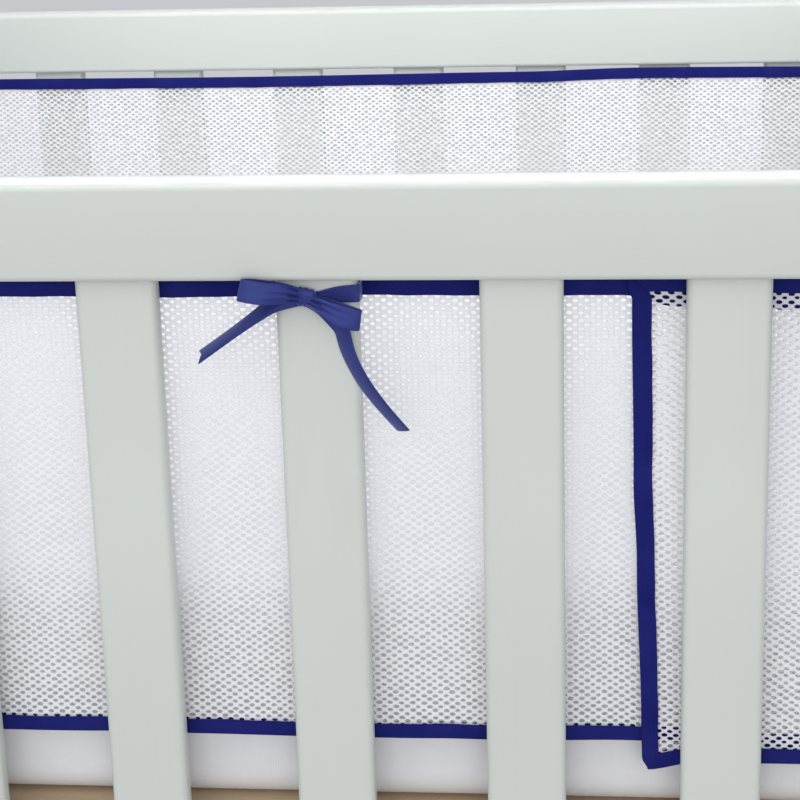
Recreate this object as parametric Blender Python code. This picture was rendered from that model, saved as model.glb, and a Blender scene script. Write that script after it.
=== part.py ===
"""Crib bumper on a crib: a two-piece mesh liner bound in tape and tied with ribbon bows, hung
inside a plain slatted crib with its mattress. Metres, +Z up. The front faces -Y, and the origin
is on the floor under the middle of the crib."""

import math

import bmesh
import bpy
import numpy as np
from mathutils import Matrix

# Crib: the clear inside between the posts, and the timber
INSIDE_LENGTH = 1.330
INSIDE_WIDTH = 0.720
HEIGHT = 0.900
POST = 0.050
RAIL_THICKNESS = 0.028
TOP_RAIL_HEIGHT = 0.056
LOW_RAIL_HEIGHT = 0.060
LOW_RAIL_BOTTOM = 0.280
SLAT_WIDTH = 0.047
SLAT_THICKNESS = 0.014
SLAT_INSET = 0.006
SIDE_SLATS = 11
SIDE_PITCH = 0.115
END_SLATS = 6
END_PITCH = 0.110
RAIL_EASE = 0.004
SLAT_EASE = 0.0045
POST_EASE = 0.006
FIT = 0.0003

# Base board with four ears that reach the posts, and the mattress on it
MATTRESS_LENGTH = 1.300
MATTRESS_WIDTH = 0.690
MATTRESS_TOP = 0.645
MATTRESS_BOTTOM = 0.490
MATTRESS_EDGE = 0.026
BOARD_THICKNESS = 0.012
EAR_LENGTH = 0.048
EAR_DEPTH = 0.024

# Liner: mesh held in a folded tape. WALL is how far the mesh's middle lies inside the slats
MESH_THICKNESS = 0.0016
TAPE_WIDTH = 0.010
TAPE_THICKNESS = 0.0038
TAPE_SLOT = 0.0022
TAPE_FOLD = 0.0010
TAPE_HOLD = 0.0105
WALL = 0.0038
CORNER_RADIUS = 0.035
CORNER_STEPS = 4
LINER_STEP = 0.060

# Long piece: round the back and both ends, with a return at each end of the front. Each upright
# end leans, its top beyond its bottom, and draws the cloth near it along
RETURN_END = 0.4135
LONG_TOP = 0.8400
LONG_BOTTOM = 0.5362
END_LEAN = 0.0072
END_REACH = 0.060
LONG_EDGES = (
    # place along the piece (0 to 1), rise of the top edge, rise of the bottom edge
    (0.000, 0.0012, -0.0052),
    (0.009, 0.0006, -0.0004),
    (0.025, 0.0000, 0.0003),
    (0.075, -0.0010, 0.0006),
    (0.190, -0.0014, -0.0016),
    (0.300, 0.0006, 0.0010),
    (0.365, 0.0018, 0.0022),
    (0.400, -0.0006, 0.0008),
    (0.480, -0.0020, -0.0014),
    (0.570, -0.0010, 0.0004),
    (0.640, -0.0018, -0.0018),
    (0.720, 0.0004, 0.0012),
    (0.830, -0.0016, -0.0010),
    (0.930, -0.0008, 0.0008),
    (0.984, 0.0004, -0.0004),
    (1.000, 0.0010, -0.0036),
)
LONG_BELLY = (
    # place along the piece (0 to 1), inward belly at half height, inward lean at the bottom
    (0.000, 0.0000, 0.0000),
    (0.085, 0.0000, 0.0000),
    (0.140, 0.0032, 0.0018),
    (0.190, 0.0016, 0.0030),
    (0.240, 0.0036, 0.0012),
    (0.300, 0.0002, 0.0004),
    (0.350, 0.0030, 0.0022),
    (0.400, 0.0012, 0.0010),
    (0.450, 0.0036, 0.0028),
    (0.500, 0.0014, 0.0016),
    (0.555, 0.0034, 0.0024),
    (0.600, 0.0010, 0.0008),
    (0.650, 0.0028, 0.0020),
    (0.700, 0.0002, 0.0006),
    (0.760, 0.0034, 0.0024),
    (0.810, 0.0014, 0.0014),
    (0.860, 0.0030, 0.0020),
    (0.915, 0.0000, 0.0000),
    (1.000, 0.0000, 0.0000),
)

# Short piece: across the front, behind the long piece's returns
SHORT_HALF = 0.560
SHORT_TOP = 0.8390
SHORT_BOTTOM = 0.5480
SHORT_BEHIND = 0.0043
SHIFT_FROM = 0.335
SHIFT_TO = 0.400
SHORT_EDGES = (
    # place along the piece (0 to 1), rise of the top edge, rise of the bottom edge
    (0.000, -0.0100, -0.0050),
    (0.130, -0.0070, -0.0022),
    (0.230, -0.0006, 0.0010),
    (0.340, 0.0006, 0.0016),
    (0.440, -0.0008, 0.0010),
    (0.545, 0.0002, 0.0012),
    (0.640, -0.0006, 0.0010),
    (0.705, 0.0006, 0.0006),
    (0.790, 0.0000, 0.0004),
    (0.860, -0.0012, 0.0000),
    (0.885, -0.0082, -0.0006),
    (0.938, -0.0096, -0.0040),
    (1.000, -0.0110, -0.0060),
)
SHORT_BELLY = (
    # place along the piece (0 to 1), inward belly at half height, inward lean at the bottom
    (0.000, 0.0000, 0.0000),
    (0.150, 0.0000, 0.0000),
    (0.245, 0.0022, 0.0014),
    (0.320, 0.0004, 0.0004),
    (0.400, 0.0026, 0.0018),
    (0.500, 0.0008, 0.0010),
    (0.595, 0.0028, 0.0016),
    (0.700, 0.0004, 0.0006),
    (0.785, 0.0020, 0.0012),
    (0.850, 0.0000, 0.0000),
    (1.000, 0.0000, 0.0000),
)

# Ribbon bows: places are millimetres from the middle of the slat's outer face, to the right,
# up and outward, seen from outside the crib
RIBBON_WIDTH = 0.0108
RIBBON_THICKNESS = 0.0010
BOW_HEIGHT = 0.8332
FRONT_BOWS = (-0.575, -0.230, 0.230, 0.575)
BACK_BOW = -0.345
END_BOWS = 0.055
KNOT_AT = (-5.2, 1.0, 4.1)
KNOT_SIZE = (10.8, 10.2, 6.8)
KNOT_TURN_DEG = 9.0
KNOT_EASE = 2.2
LEFT_LOOP = (
    (-5.0, 1.0, 3.0),
    (-16.0, 3.8, 4.0),
    (-28.0, 5.6, 7.4),
    (-37.5, 7.2, 10.2),
    (-41.2, 7.8, 11.9),
    (-37.8, 7.3, 13.6),
    (-28.0, 5.7, 13.0),
    (-17.0, 4.4, 9.4),
    (-5.0, 1.2, 5.6),
)
RIGHT_LOOP = (
    (-5.2, -0.4, 3.2),
    (3.0, -2.6, 4.7),
    (13.0, -7.0, 5.6),
    (21.5, -10.4, 6.4),
    (25.4, -11.4, 8.0),
    (21.5, -10.6, 9.7),
    (12.0, -7.0, 10.6),
    (3.0, -2.8, 8.8),
    (-5.2, 0.2, 5.6),
)
LEFT_TAIL = (
    # right, up, outward, turn of the ribbon about its own run in degrees
    (-5.2, -0.6, 2.4, 0.0),
    (-14.0, -1.2, 3.4, 14.0),
    (-24.0, -3.0, 5.0, 34.0),
    (-33.0, -8.9, 5.4, 50.0),
    (-45.0, -17.6, 4.4, 56.0),
    (-57.0, -26.4, 3.4, 57.0),
    (-68.4, -34.7, 2.6, 57.0),
)
RIGHT_TAIL = (
    # right, up, outward, turn of the ribbon about its own run in degrees
    (-5.2, -1.4, 2.4, 0.0),
    (3.5, -6.0, 2.3, 0.0),
    (11.0, -13.0, 2.8, 10.0),
    (14.4, -19.0, 4.0, 30.0),
    (16.9, -29.4, 5.0, 42.0),
    (21.0, -40.0, 5.6, 48.0),
    (27.6, -52.0, 5.6, 52.0),
    (37.0, -65.4, 4.6, 56.0),
    (47.3, -78.1, 3.6, 58.0),
)
BAND_GAP = 0.9
BAND_CORNER = 2.0
BAND_RISES = (2.2, 2.4, 1.2, 0.8)

PAINT = ("painted_timber", (0.62, 0.66, 0.63), 0.42)
BOARD = ("base_board", (0.60, 0.52, 0.40), 0.70)
COTTON = ("mattress_cotton", (0.83, 0.83, 0.85), 0.92)
MESH = ("liner_mesh", (0.88, 0.89, 0.92), 0.85)
TAPE = ("navy_tape", (0.006, 0.007, 0.060), 0.80)
RIBBON = ("navy_ribbon", (0.010, 0.013, 0.095), 0.60)


def make_material(name, colour, roughness):
    """The named material, made on its first use."""
    material = bpy.data.materials.get(name)
    if material is None:
        material = bpy.data.materials.new(name)
        material.use_nodes = True
        shader = material.node_tree.nodes["Principled BSDF"]
        shader.inputs["Base Color"].default_value = (*colour, 1.0)
        shader.inputs["Roughness"].default_value = roughness
        shader.inputs["Metallic"].default_value = 0.0
        material.diffuse_color = (*colour, 1.0)
    return material


def add_object(name, mesh, finish):
    """Links a mesh as an object with its own material."""
    item = bpy.data.objects.new(name, mesh)
    if not mesh.materials:
        mesh.materials.append(make_material(*finish))
    bpy.context.scene.collection.objects.link(item)
    return item


def mesh_from(name, points, faces):
    """A mesh with its faces turned outward."""
    form = bmesh.new()
    verts = [form.verts.new(point) for point in points]
    for face in faces:
        form.faces.new([verts[i] for i in face])
    bmesh.ops.recalc_face_normals(form, faces=form.faces)
    mesh = bpy.data.meshes.new(name)
    form.to_mesh(mesh)
    form.free()
    return mesh


def rounded_section(width, depth, radius, steps):
    """The outline of a rectangle with round corners, about its middle, anticlockwise."""
    outline = []
    for quarter, (side, up) in enumerate(((1, 1), (-1, 1), (-1, -1), (1, -1))):
        middle_x = side * (width / 2 - radius)
        middle_y = up * (depth / 2 - radius)
        for step in range(steps + 1):
            angle = math.radians(90 * (quarter + step / steps))
            outline.append((middle_x + radius * math.cos(angle), middle_y + radius * math.sin(angle)))
    return outline


def bar(name, low, high, along, radius, finish):
    """A straight timber with eased long edges, filling the box from low to high."""
    middle = [(a + b) / 2 for a, b in zip(low, high)]
    size = [b - a for a, b in zip(low, high)]
    across = [axis for axis in range(3) if axis != along]
    outline = rounded_section(size[across[0]], size[across[1]], radius, 2)
    count = len(outline)
    points = []
    for end in (-1, 1):
        for offset in outline:
            point = list(middle)
            point[along] += end * size[along] / 2
            point[across[0]] += offset[0]
            point[across[1]] += offset[1]
            points.append(point)
    sides = [(i, (i + 1) % count, count + (i + 1) % count, count + i) for i in range(count)]
    caps = [tuple(range(count)), tuple(range(2 * count - 1, count - 1, -1))]
    return add_object(name, mesh_from(name, points, sides + caps), finish)


def rounded_block(name, low, high, radius, steps, finish):
    """A block with every edge rounded, filling the box from low to high."""
    form = bmesh.new()
    bmesh.ops.create_cube(form, size=1.0)
    size = [b - a for a, b in zip(low, high)]
    middle = [(a + b) / 2 for a, b in zip(low, high)]
    bmesh.ops.scale(form, vec=size, verts=form.verts)
    bmesh.ops.bevel(form, geom=form.edges[:], offset=radius, segments=steps, profile=0.5, affect="EDGES")
    bmesh.ops.translate(form, vec=middle, verts=form.verts)
    mesh = bpy.data.meshes.new(name)
    form.to_mesh(mesh)
    form.free()
    return add_object(name, mesh, finish)


def build_posts():
    """Four corner posts, their inner faces level with the rails' inner faces."""
    for side, x in (("left", -1), ("right", 1)):
        for face, y in (("front", -1), ("back", 1)):
            near = (INSIDE_LENGTH / 2, INSIDE_WIDTH / 2)
            xs = sorted((x * near[0], x * (near[0] + POST)))
            ys = sorted((y * near[1], y * (near[1] + POST)))
            low = (xs[0], ys[0], 0.0)
            high = (xs[1], ys[1], HEIGHT)
            rounded_block(f"post_{face}_{side}", low, high, POST_EASE, 2, PAINT)


def build_rails():
    """Top and low rails between the posts on all four sides."""
    heights = (
        ("top_rail", HEIGHT - TOP_RAIL_HEIGHT, HEIGHT),
        ("low_rail", LOW_RAIL_BOTTOM, LOW_RAIL_BOTTOM + LOW_RAIL_HEIGHT),
    )
    half_length = INSIDE_LENGTH / 2
    half_width = INSIDE_WIDTH / 2
    for label, bottom, top in heights:
        for face, y in (("front", -1), ("back", 1)):
            ys = sorted((y * half_width, y * (half_width + RAIL_THICKNESS)))
            low = (-half_length + FIT, ys[0], bottom)
            high = (half_length - FIT, ys[1], top)
            bar(f"{label}_{face}", low, high, 0, RAIL_EASE, PAINT)
        for face, x in (("left", -1), ("right", 1)):
            xs = sorted((x * half_length, x * (half_length + RAIL_THICKNESS)))
            low = (xs[0], -half_width + FIT, bottom)
            high = (xs[1], half_width - FIT, top)
            bar(f"{label}_{face}", low, high, 1, RAIL_EASE, PAINT)


def build_slats():
    """Flat slats between the low and top rails, set in from the rails' inner faces."""
    bottom = LOW_RAIL_BOTTOM + LOW_RAIL_HEIGHT + FIT
    top = HEIGHT - TOP_RAIL_HEIGHT - FIT
    inner_y = INSIDE_WIDTH / 2 + SLAT_INSET
    inner_x = INSIDE_LENGTH / 2 + SLAT_INSET
    for face, side in (("front", -1), ("back", 1)):
        for i in range(SIDE_SLATS):
            x = (i - (SIDE_SLATS - 1) / 2) * SIDE_PITCH
            ys = sorted((side * inner_y, side * (inner_y + SLAT_THICKNESS)))
            low = (x - SLAT_WIDTH / 2, ys[0], bottom)
            high = (x + SLAT_WIDTH / 2, ys[1], top)
            bar(f"slat_{face}_{i + 1:02d}", low, high, 2, SLAT_EASE, PAINT)
    for face, side in (("left", -1), ("right", 1)):
        for i in range(END_SLATS):
            y = (i - (END_SLATS - 1) / 2) * END_PITCH
            xs = sorted((side * inner_x, side * (inner_x + SLAT_THICKNESS)))
            low = (xs[0], y - SLAT_WIDTH / 2, bottom)
            high = (xs[1], y + SLAT_WIDTH / 2, top)
            bar(f"slat_{face}_{i + 1:02d}", low, high, 2, SLAT_EASE, PAINT)


def build_base():
    """A board under the mattress whose four ears meet the posts between the last slats."""
    x = INSIDE_LENGTH / 2 - FIT
    y = INSIDE_WIDTH / 2 - FIT
    ear_x = x - EAR_LENGTH
    ear_y = y + EAR_DEPTH
    quarter = ((x, y - EAR_LENGTH), (x, ear_y), (ear_x, ear_y), (ear_x, y))
    outline = []
    for sign_x, sign_y, forward in ((1, 1, True), (-1, 1, False), (-1, -1, True), (1, -1, False)):
        corners = quarter if forward else quarter[::-1]
        outline += [(sign_x * a, sign_y * b) for a, b in corners]
    top = MATTRESS_BOTTOM - FIT
    count = len(outline)
    points = [(a, b, z) for z in (top - BOARD_THICKNESS, top) for a, b in outline]
    sides = [(i, (i + 1) % count, count + (i + 1) % count, count + i) for i in range(count)]
    caps = [tuple(range(count)), tuple(range(2 * count - 1, count - 1, -1))]
    add_object("base_board", mesh_from("base_board", points, sides + caps), BOARD)


def build_mattress():
    """A flat mattress with rounded edges."""
    low = (-MATTRESS_LENGTH / 2, -MATTRESS_WIDTH / 2, MATTRESS_BOTTOM)
    high = (MATTRESS_LENGTH / 2, MATTRESS_WIDTH / 2, MATTRESS_TOP)
    rounded_block("mattress", low, high, MATTRESS_EDGE, 4, COTTON)


def eased(table, column, places):
    """A table's column at some places, changing smoothly from row to row."""
    rows = np.array(table)
    index = np.clip(np.searchsorted(rows[:, 0], places, side="right") - 1, 0, len(rows) - 2)
    before = rows[index]
    after = rows[index + 1]
    share = (places - before[:, 0]) / (after[:, 0] - before[:, 0])
    share = share * share * (3 - 2 * share)
    return before[:, column] * (1 - share) + after[:, column] * share


class Cloth:
    """A hung piece of the liner. Its plan is a line of stations, each with a normal towards the
    inside of the crib, and its height, belly and lean change along that line."""

    def __init__(self, plan, normals, top, bottom, edges, belly, end_lean=0.0):
        self.plan = np.array(plan)
        self.normals = np.array(normals)
        steps = np.linalg.norm(np.diff(self.plan, axis=0), axis=1)
        self.along = np.concatenate([[0.0], np.cumsum(steps)])
        self.length = self.along[-1]
        places = self.along / self.length
        self.top = top + eased(edges, 1, places)
        self.bottom = bottom + eased(edges, 2, places)
        self.belly = eased(belly, 1, places)
        self.lean = eased(belly, 2, places)
        self.end_lean = end_lean

    def at(self, values, along):
        """Station values at places between the stations."""
        return np.interp(along, self.along, values)

    def point(self, along, edge, depth, side):
        """A point at a depth in from the top edge (1) or the bottom edge (0) or a share of the
        height between, a distance to one side of the mesh's middle."""
        top = self.at(self.top, along)
        bottom = self.at(self.bottom, along)
        z = bottom + (top - bottom) * edge + depth
        share = (top - z) / (top - bottom)
        offset = side + self.at(self.belly, along) * math.sin(math.pi * share)
        offset += self.at(self.lean, along) * share
        x = self.at(self.plan[:, 0], along) + self.at(self.normals[:, 0], along) * offset
        y = self.at(self.plan[:, 1], along) + self.at(self.normals[:, 1], along) * offset
        near = max(0.0, 1 - min(along, self.length - along) / END_REACH)
        x -= math.copysign(self.end_lean * (1 - share) * near, x)
        return (float(x), float(y), float(z))


def long_plan():
    """The long piece's plan: along the right return, round the crib and back to the left."""
    far_x = INSIDE_LENGTH / 2 + SLAT_INSET - WALL
    far_y = INSIDE_WIDTH / 2 + SLAT_INSET - WALL
    near_x = far_x - CORNER_RADIUS
    near_y = far_y - CORNER_RADIUS
    straights = (
        ((RETURN_END, -far_y), (near_x, -far_y), (0, 1)),
        ((far_x, -near_y), (far_x, near_y), (-1, 0)),
        ((near_x, far_y), (-near_x, far_y), (0, -1)),
        ((-far_x, near_y), (-far_x, -near_y), (1, 0)),
        ((-near_x, -far_y), (-RETURN_END, -far_y), (0, 1)),
    )
    corners = ((near_x, -near_y, -90), (near_x, near_y, 0), (-near_x, near_y, 90), (-near_x, -near_y, 180))
    plan = []
    normals = []
    for number, (start, end, inward) in enumerate(straights):
        count = max(1, round(math.dist(start, end) / LINER_STEP))
        for i in range(count + 1):
            share = i / count
            plan.append((start[0] + (end[0] - start[0]) * share, start[1] + (end[1] - start[1]) * share))
            normals.append(inward)
        if number < len(corners):
            x, y, turn = corners[number]
            for i in range(1, CORNER_STEPS):
                angle = math.radians(turn + 90 * i / CORNER_STEPS)
                plan.append((x + CORNER_RADIUS * math.cos(angle), y + CORNER_RADIUS * math.sin(angle)))
                normals.append((-math.cos(angle), -math.sin(angle)))
    return plan, normals


def short_plan():
    """The short piece's plan: straight, and set back behind the long piece's returns."""
    y = -(INSIDE_WIDTH / 2 + SLAT_INSET - WALL)
    count = 2 * round(SHORT_HALF / LINER_STEP * 1.25)
    plan = []
    for i in range(count + 1):
        x = -SHORT_HALF + 2 * SHORT_HALF * i / count
        share = min(1.0, max(0.0, (abs(x) - SHIFT_FROM) / (SHIFT_TO - SHIFT_FROM)))
        plan.append((x, y + SHORT_BEHIND * share * share * (3 - 2 * share)))
    return plan, [(0, 1)] * len(plan)


def build_mesh_panel(name, cloth):
    """A thin solid sheet that ends inside the fold of its tape."""
    tuck = TAPE_FOLD + FIT
    inner = [s for s in cloth.along if TAPE_HOLD < s < cloth.length - TAPE_HOLD]
    columns = [tuck, TAPE_HOLD, *inner, cloth.length - TAPE_HOLD, cloth.length - tuck]
    rows = [(1, -tuck), (1, -TAPE_HOLD), (0.75, 0), (0.5, 0), (0.25, 0), (0, TAPE_HOLD), (0, tuck)]
    half = MESH_THICKNESS / 2
    points = []
    for side in (half, -half):
        points += [cloth.point(s, edge, depth, side) for edge, depth in rows for s in columns]
    wide = len(columns)
    sheet = wide * len(rows)
    faces = []
    for row in range(len(rows) - 1):
        for column in range(wide - 1):
            a = row * wide + column
            face = (a, a + 1, a + wide + 1, a + wide)
            faces.append(face)
            faces.append(tuple(sheet + i for i in face[::-1]))
    rim = [*range(wide), *range(2 * wide - 1, sheet, wide)]
    rim += [*range(sheet - 2, sheet - wide - 1, -1), *range(sheet - 2 * wide, 0, -wide)]
    for i, a in enumerate(rim):
        b = rim[(i + 1) % len(rim)]
        faces.append((a, b, sheet + b, sheet + a))
    return add_object(name, mesh_from(name, points, faces), MESH)


def build_tape(name, cloth):
    """Tape folded over all four edges of a panel, mitred at its corners."""
    inner = [s for s in cloth.along if TAPE_WIDTH < s < cloth.length - TAPE_WIDTH]
    frame = [(0.0, 1, 1, -1)]
    frame += [(s, 1, 0, -1) for s in inner]
    frame += [(cloth.length, 1, -1, -1), (cloth.length, 0.5, -1, 0), (cloth.length, 0, -1, 1)]
    frame += [(s, 0, 0, 1) for s in reversed(inner)]
    frame += [(0.0, 0, 1, 1), (0.0, 0.5, 1, 0)]
    half = TAPE_THICKNESS / 2
    slot = TAPE_SLOT / 2
    outside = ((TAPE_WIDTH, slot), (TAPE_WIDTH, half), (0.0, half), (0.0, -half), (TAPE_WIDTH, -half))
    profile = (*outside, (TAPE_WIDTH, -slot), (TAPE_FOLD, -slot), (TAPE_FOLD, slot))
    count = len(profile)
    points = []
    for along, edge, toward, upward in frame:
        points += [cloth.point(along + toward * a, edge, upward * a, b) for a, b in profile]
    faces = []
    for i in range(len(frame)):
        here = i * count
        after = (i + 1) % len(frame) * count
        for j in range(count):
            k = (j + 1) % count
            faces.append((here + j, here + k, after + k, after + j))
    return add_object(name, mesh_from(name, points, faces), TAPE)


def build_liner():
    """Both pieces of the liner, each a mesh panel in its tape."""
    long_piece = Cloth(*long_plan(), LONG_TOP, LONG_BOTTOM, LONG_EDGES, LONG_BELLY, END_LEAN)
    short_piece = Cloth(*short_plan(), SHORT_TOP, SHORT_BOTTOM, SHORT_EDGES, SHORT_BELLY)
    for label, cloth in (("long", long_piece), ("short", short_piece)):
        build_mesh_panel(f"{label}_mesh_panel", cloth)
        build_tape(f"{label}_panel_tape", cloth)


def smooth_line(points, steps):
    """Points along a smooth curve (Catmull-Rom) through the given rows."""
    rows = np.array(points, dtype=float)
    padded = np.vstack([2 * rows[0] - rows[1], rows, 2 * rows[-1] - rows[-2]])
    line = []
    for i in range(len(rows) - 1):
        a, b, c, d = padded[i : i + 4]
        for step in range(steps):
            t = step / steps
            line.append(
                0.5 * (2 * b + (c - a) * t + (2 * a - 5 * b + 4 * c - d) * t**2 + (3 * b - a - 3 * c + d) * t**3)
            )
    line.append(rows[-1])
    return np.array(line)


def strip(name, centres, across, closed=False):
    """A flat ribbon along a line. Its width lies along the across vectors, and its thickness
    along the cross product of its run and its width."""
    ahead = np.roll(centres, -1, axis=0) - np.roll(centres, 1, axis=0)
    if not closed:
        ahead[0] = centres[1] - centres[0]
        ahead[-1] = centres[-1] - centres[-2]
    across = across - ahead * (np.sum(across * ahead, axis=1) / np.sum(ahead * ahead, axis=1))[:, None]
    across = across / np.linalg.norm(across, axis=1)[:, None] * RIBBON_WIDTH / 2
    normal = np.cross(ahead, across)
    normal = normal / np.linalg.norm(normal, axis=1)[:, None] * RIBBON_THICKNESS / 2
    corners = np.stack([centres + across + normal, centres - across + normal], axis=1)
    corners = np.concatenate([corners, corners[:, ::-1] - 2 * normal[:, None]], axis=1)
    points = corners.reshape(-1, 3)
    count = len(centres)
    faces = []
    for i in range(count if closed else count - 1):
        here = 4 * i
        after = 4 * ((i + 1) % count)
        faces += [(here + j, here + (j + 1) % 4, after + (j + 1) % 4, after + j) for j in range(4)]
    if not closed:
        faces += [(0, 1, 2, 3), tuple(4 * count - 4 + j for j in range(4))]
    return mesh_from(name, points.tolist(), faces)


def from_slat(rows):
    """Places measured on a slat's outer face in millimetres, as metres with outward at -Y."""
    rows = np.array(rows, dtype=float)
    return np.stack([rows[:, 0], -rows[:, 2], rows[:, 1]], axis=1) / 1000


def bow_loop(name, points):
    """A loop of ribbon that leaves the knot, folds and comes back in front of itself."""
    centres = from_slat(smooth_line(points, 2))
    across = np.tile((0.0, 0.0, 1.0), (len(centres), 1))
    return strip(name, centres, across)


def bow_tail(name, rows):
    """A loose end of ribbon, turned about its own run."""
    line = smooth_line(rows, 2)
    centres = from_slat(line)
    run = np.gradient(centres, axis=0)
    run = run / np.linalg.norm(run, axis=1)[:, None]
    flat = np.cross(run, (0.0, 1.0, 0.0))
    flat = flat / np.linalg.norm(flat, axis=1)[:, None]
    turn = np.radians(line[:, 3])[:, None]
    across = flat * np.cos(turn) + np.cross(run, flat) * np.sin(turn)
    return strip(name, centres, across)


def bow_band(name):
    """The ribbon that goes round the slat, rising a little from the knot to its right."""
    width = SLAT_WIDTH * 1000 + 2 * BAND_GAP
    depth = SLAT_THICKNESS * 1000 + 2 * BAND_GAP
    outline = rounded_section(width, depth, BAND_CORNER, 2)
    middle = -SLAT_THICKNESS * 1000 / 2
    right_front, right_back, left_back, left_front = BAND_RISES
    rises = {(True, True): right_front, (True, False): right_back}
    rises.update({(False, False): left_back, (False, True): left_front})
    rows = [(x, rises[(x > 0, y > 0)], middle + y) for x, y in outline]
    centres = from_slat(rows)
    across = np.tile((0.0, 0.0, 1.0), (len(centres), 1))
    return strip(name, centres, across, closed=True)


def bow_knot(name):
    """The knot: a small rounded lump, turned a little."""
    form = bmesh.new()
    bmesh.ops.create_cube(form, size=1.0)
    right, up, outward = (value / 1000 for value in KNOT_SIZE)
    bmesh.ops.scale(form, vec=(right, outward, up), verts=form.verts)
    bmesh.ops.bevel(
        form, geom=form.edges[:], offset=KNOT_EASE / 1000, segments=2, profile=0.5, affect="EDGES"
    )
    turn = Matrix.Rotation(math.radians(KNOT_TURN_DEG), 3, "Y")
    bmesh.ops.rotate(form, cent=(0, 0, 0), matrix=turn, verts=form.verts)
    bmesh.ops.translate(form, vec=from_slat([KNOT_AT])[0].tolist(), verts=form.verts)
    mesh = bpy.data.meshes.new(name)
    form.to_mesh(mesh)
    form.free()
    return mesh


def join_bow():
    """One bow's mesh: the knot, band, loops and tails joined into one solid."""
    whole = add_object("bow_pattern", bow_knot("bow_pattern"), RIBBON)
    pieces = (
        bow_band("band"),
        bow_loop("left_loop", LEFT_LOOP),
        bow_loop("right_loop", RIGHT_LOOP),
        bow_tail("left_tail", LEFT_TAIL),
        bow_tail("right_tail", RIGHT_TAIL),
    )
    parts = [add_object(f"bow_{mesh.name}", mesh, RIBBON) for mesh in pieces]
    for part in parts:
        part.hide_render = True
        part.display_type = "WIRE"
        join = whole.modifiers.new(part.name, "BOOLEAN")
        join.operation = "UNION"
        join.object = part
    shown = whole.evaluated_get(bpy.context.evaluated_depsgraph_get())
    mesh = bpy.data.meshes.new_from_object(shown)
    mesh.name = "ribbon_bow"
    for item in (whole, *parts):
        bpy.data.objects.remove(item)
    return mesh


def build_bows():
    """Ribbon bows that tie the liner's top edge to slats on all four sides."""
    mesh = join_bow()
    out = SLAT_INSET + SLAT_THICKNESS
    face_x = INSIDE_LENGTH / 2 + out
    face_y = INSIDE_WIDTH / 2 + out
    bows = [(f"front_{i + 1}", x, -face_y, 0) for i, x in enumerate(FRONT_BOWS)]
    bows.append(("back_1", BACK_BOW, face_y, 180))
    bows += [("right_1", face_x, END_BOWS, 90), ("left_1", -face_x, END_BOWS, -90)]
    for name, x, y, turn in bows:
        bow = add_object(f"bow_{name}", mesh, RIBBON)
        bow.location = (x, y, BOW_HEIGHT)
        bow.rotation_euler = (0, 0, math.radians(turn))


def main():
    """Builds the crib, the mattress, the liner and its bows."""
    for item in list(bpy.data.objects):
        bpy.data.objects.remove(item)
    build_posts()
    build_rails()
    build_slats()
    build_base()
    build_mattress()
    build_liner()
    build_bows()


main()
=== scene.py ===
"""Looks of a mesh crib bumper hung in a crib: knitted mesh in folded tape, ribbon bows, painted
timber and a cotton mattress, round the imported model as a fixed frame. Metres, +Z up."""

import logging
import math
from dataclasses import dataclass, field
from enum import Enum

import bpy
import numpy as np
from mathutils import Matrix, Vector


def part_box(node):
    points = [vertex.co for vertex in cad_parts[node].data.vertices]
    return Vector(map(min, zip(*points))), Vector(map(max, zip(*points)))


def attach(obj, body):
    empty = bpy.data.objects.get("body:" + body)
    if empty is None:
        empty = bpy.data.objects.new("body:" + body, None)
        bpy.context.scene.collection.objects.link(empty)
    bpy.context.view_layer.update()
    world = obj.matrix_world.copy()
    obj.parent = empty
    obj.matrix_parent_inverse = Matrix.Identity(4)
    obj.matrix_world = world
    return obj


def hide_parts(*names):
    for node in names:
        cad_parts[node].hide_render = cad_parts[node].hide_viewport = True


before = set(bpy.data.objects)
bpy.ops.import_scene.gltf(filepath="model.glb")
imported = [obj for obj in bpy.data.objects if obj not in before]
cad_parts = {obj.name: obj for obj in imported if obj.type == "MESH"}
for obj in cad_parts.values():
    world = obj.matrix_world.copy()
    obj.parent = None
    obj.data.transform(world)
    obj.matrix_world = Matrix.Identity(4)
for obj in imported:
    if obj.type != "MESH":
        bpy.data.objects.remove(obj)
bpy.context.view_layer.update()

BODY = "root"
LOG = logging.getLogger("crib_bumper")
Array = np.ndarray
Table = tuple[tuple[float, ...], ...]
Pair = tuple[float, float]
Triple = tuple[float, float, float]
Socket = bpy.types.NodeSocket
Feed = float | Socket
Material = bpy.types.Material
Piece = bpy.types.Object
MM = 0.001

# The crib's sizes, the same as the solids have
INSIDE_LENGTH = 1.330
INSIDE_WIDTH = 0.720
SLAT_INSET = 0.006
SLAT_WIDTH = 0.047
SLAT_THICKNESS = 0.014
SLAT_OUT = SLAT_INSET + SLAT_THICKNESS
# From the slats' inner faces to the middle of the cloth
CLOTH_GAP = 0.0038


class Slot(Enum):
    """The record's material slots."""

    MESH = "liner_mesh"
    TAPE = "binding_tape"
    RIBBON = "ribbon"
    COTTON = "mattress_cotton"
    PAINT = "painted_timber"


class Along(Enum):
    """The axis that a timber runs along."""

    X = 0
    Y = 1
    Z = 2


class Run(Enum):
    """How a stretch of ribbon starts out: standing on edge, as a loop does, or lying flat."""

    LOOP = "loop"
    TAIL = "tail"


class Side(Enum):
    """The sides of the crib, as the turn about Z that brings a front piece to them."""

    FRONT = 0
    RIGHT = 90
    BACK = 180
    LEFT = -90


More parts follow.
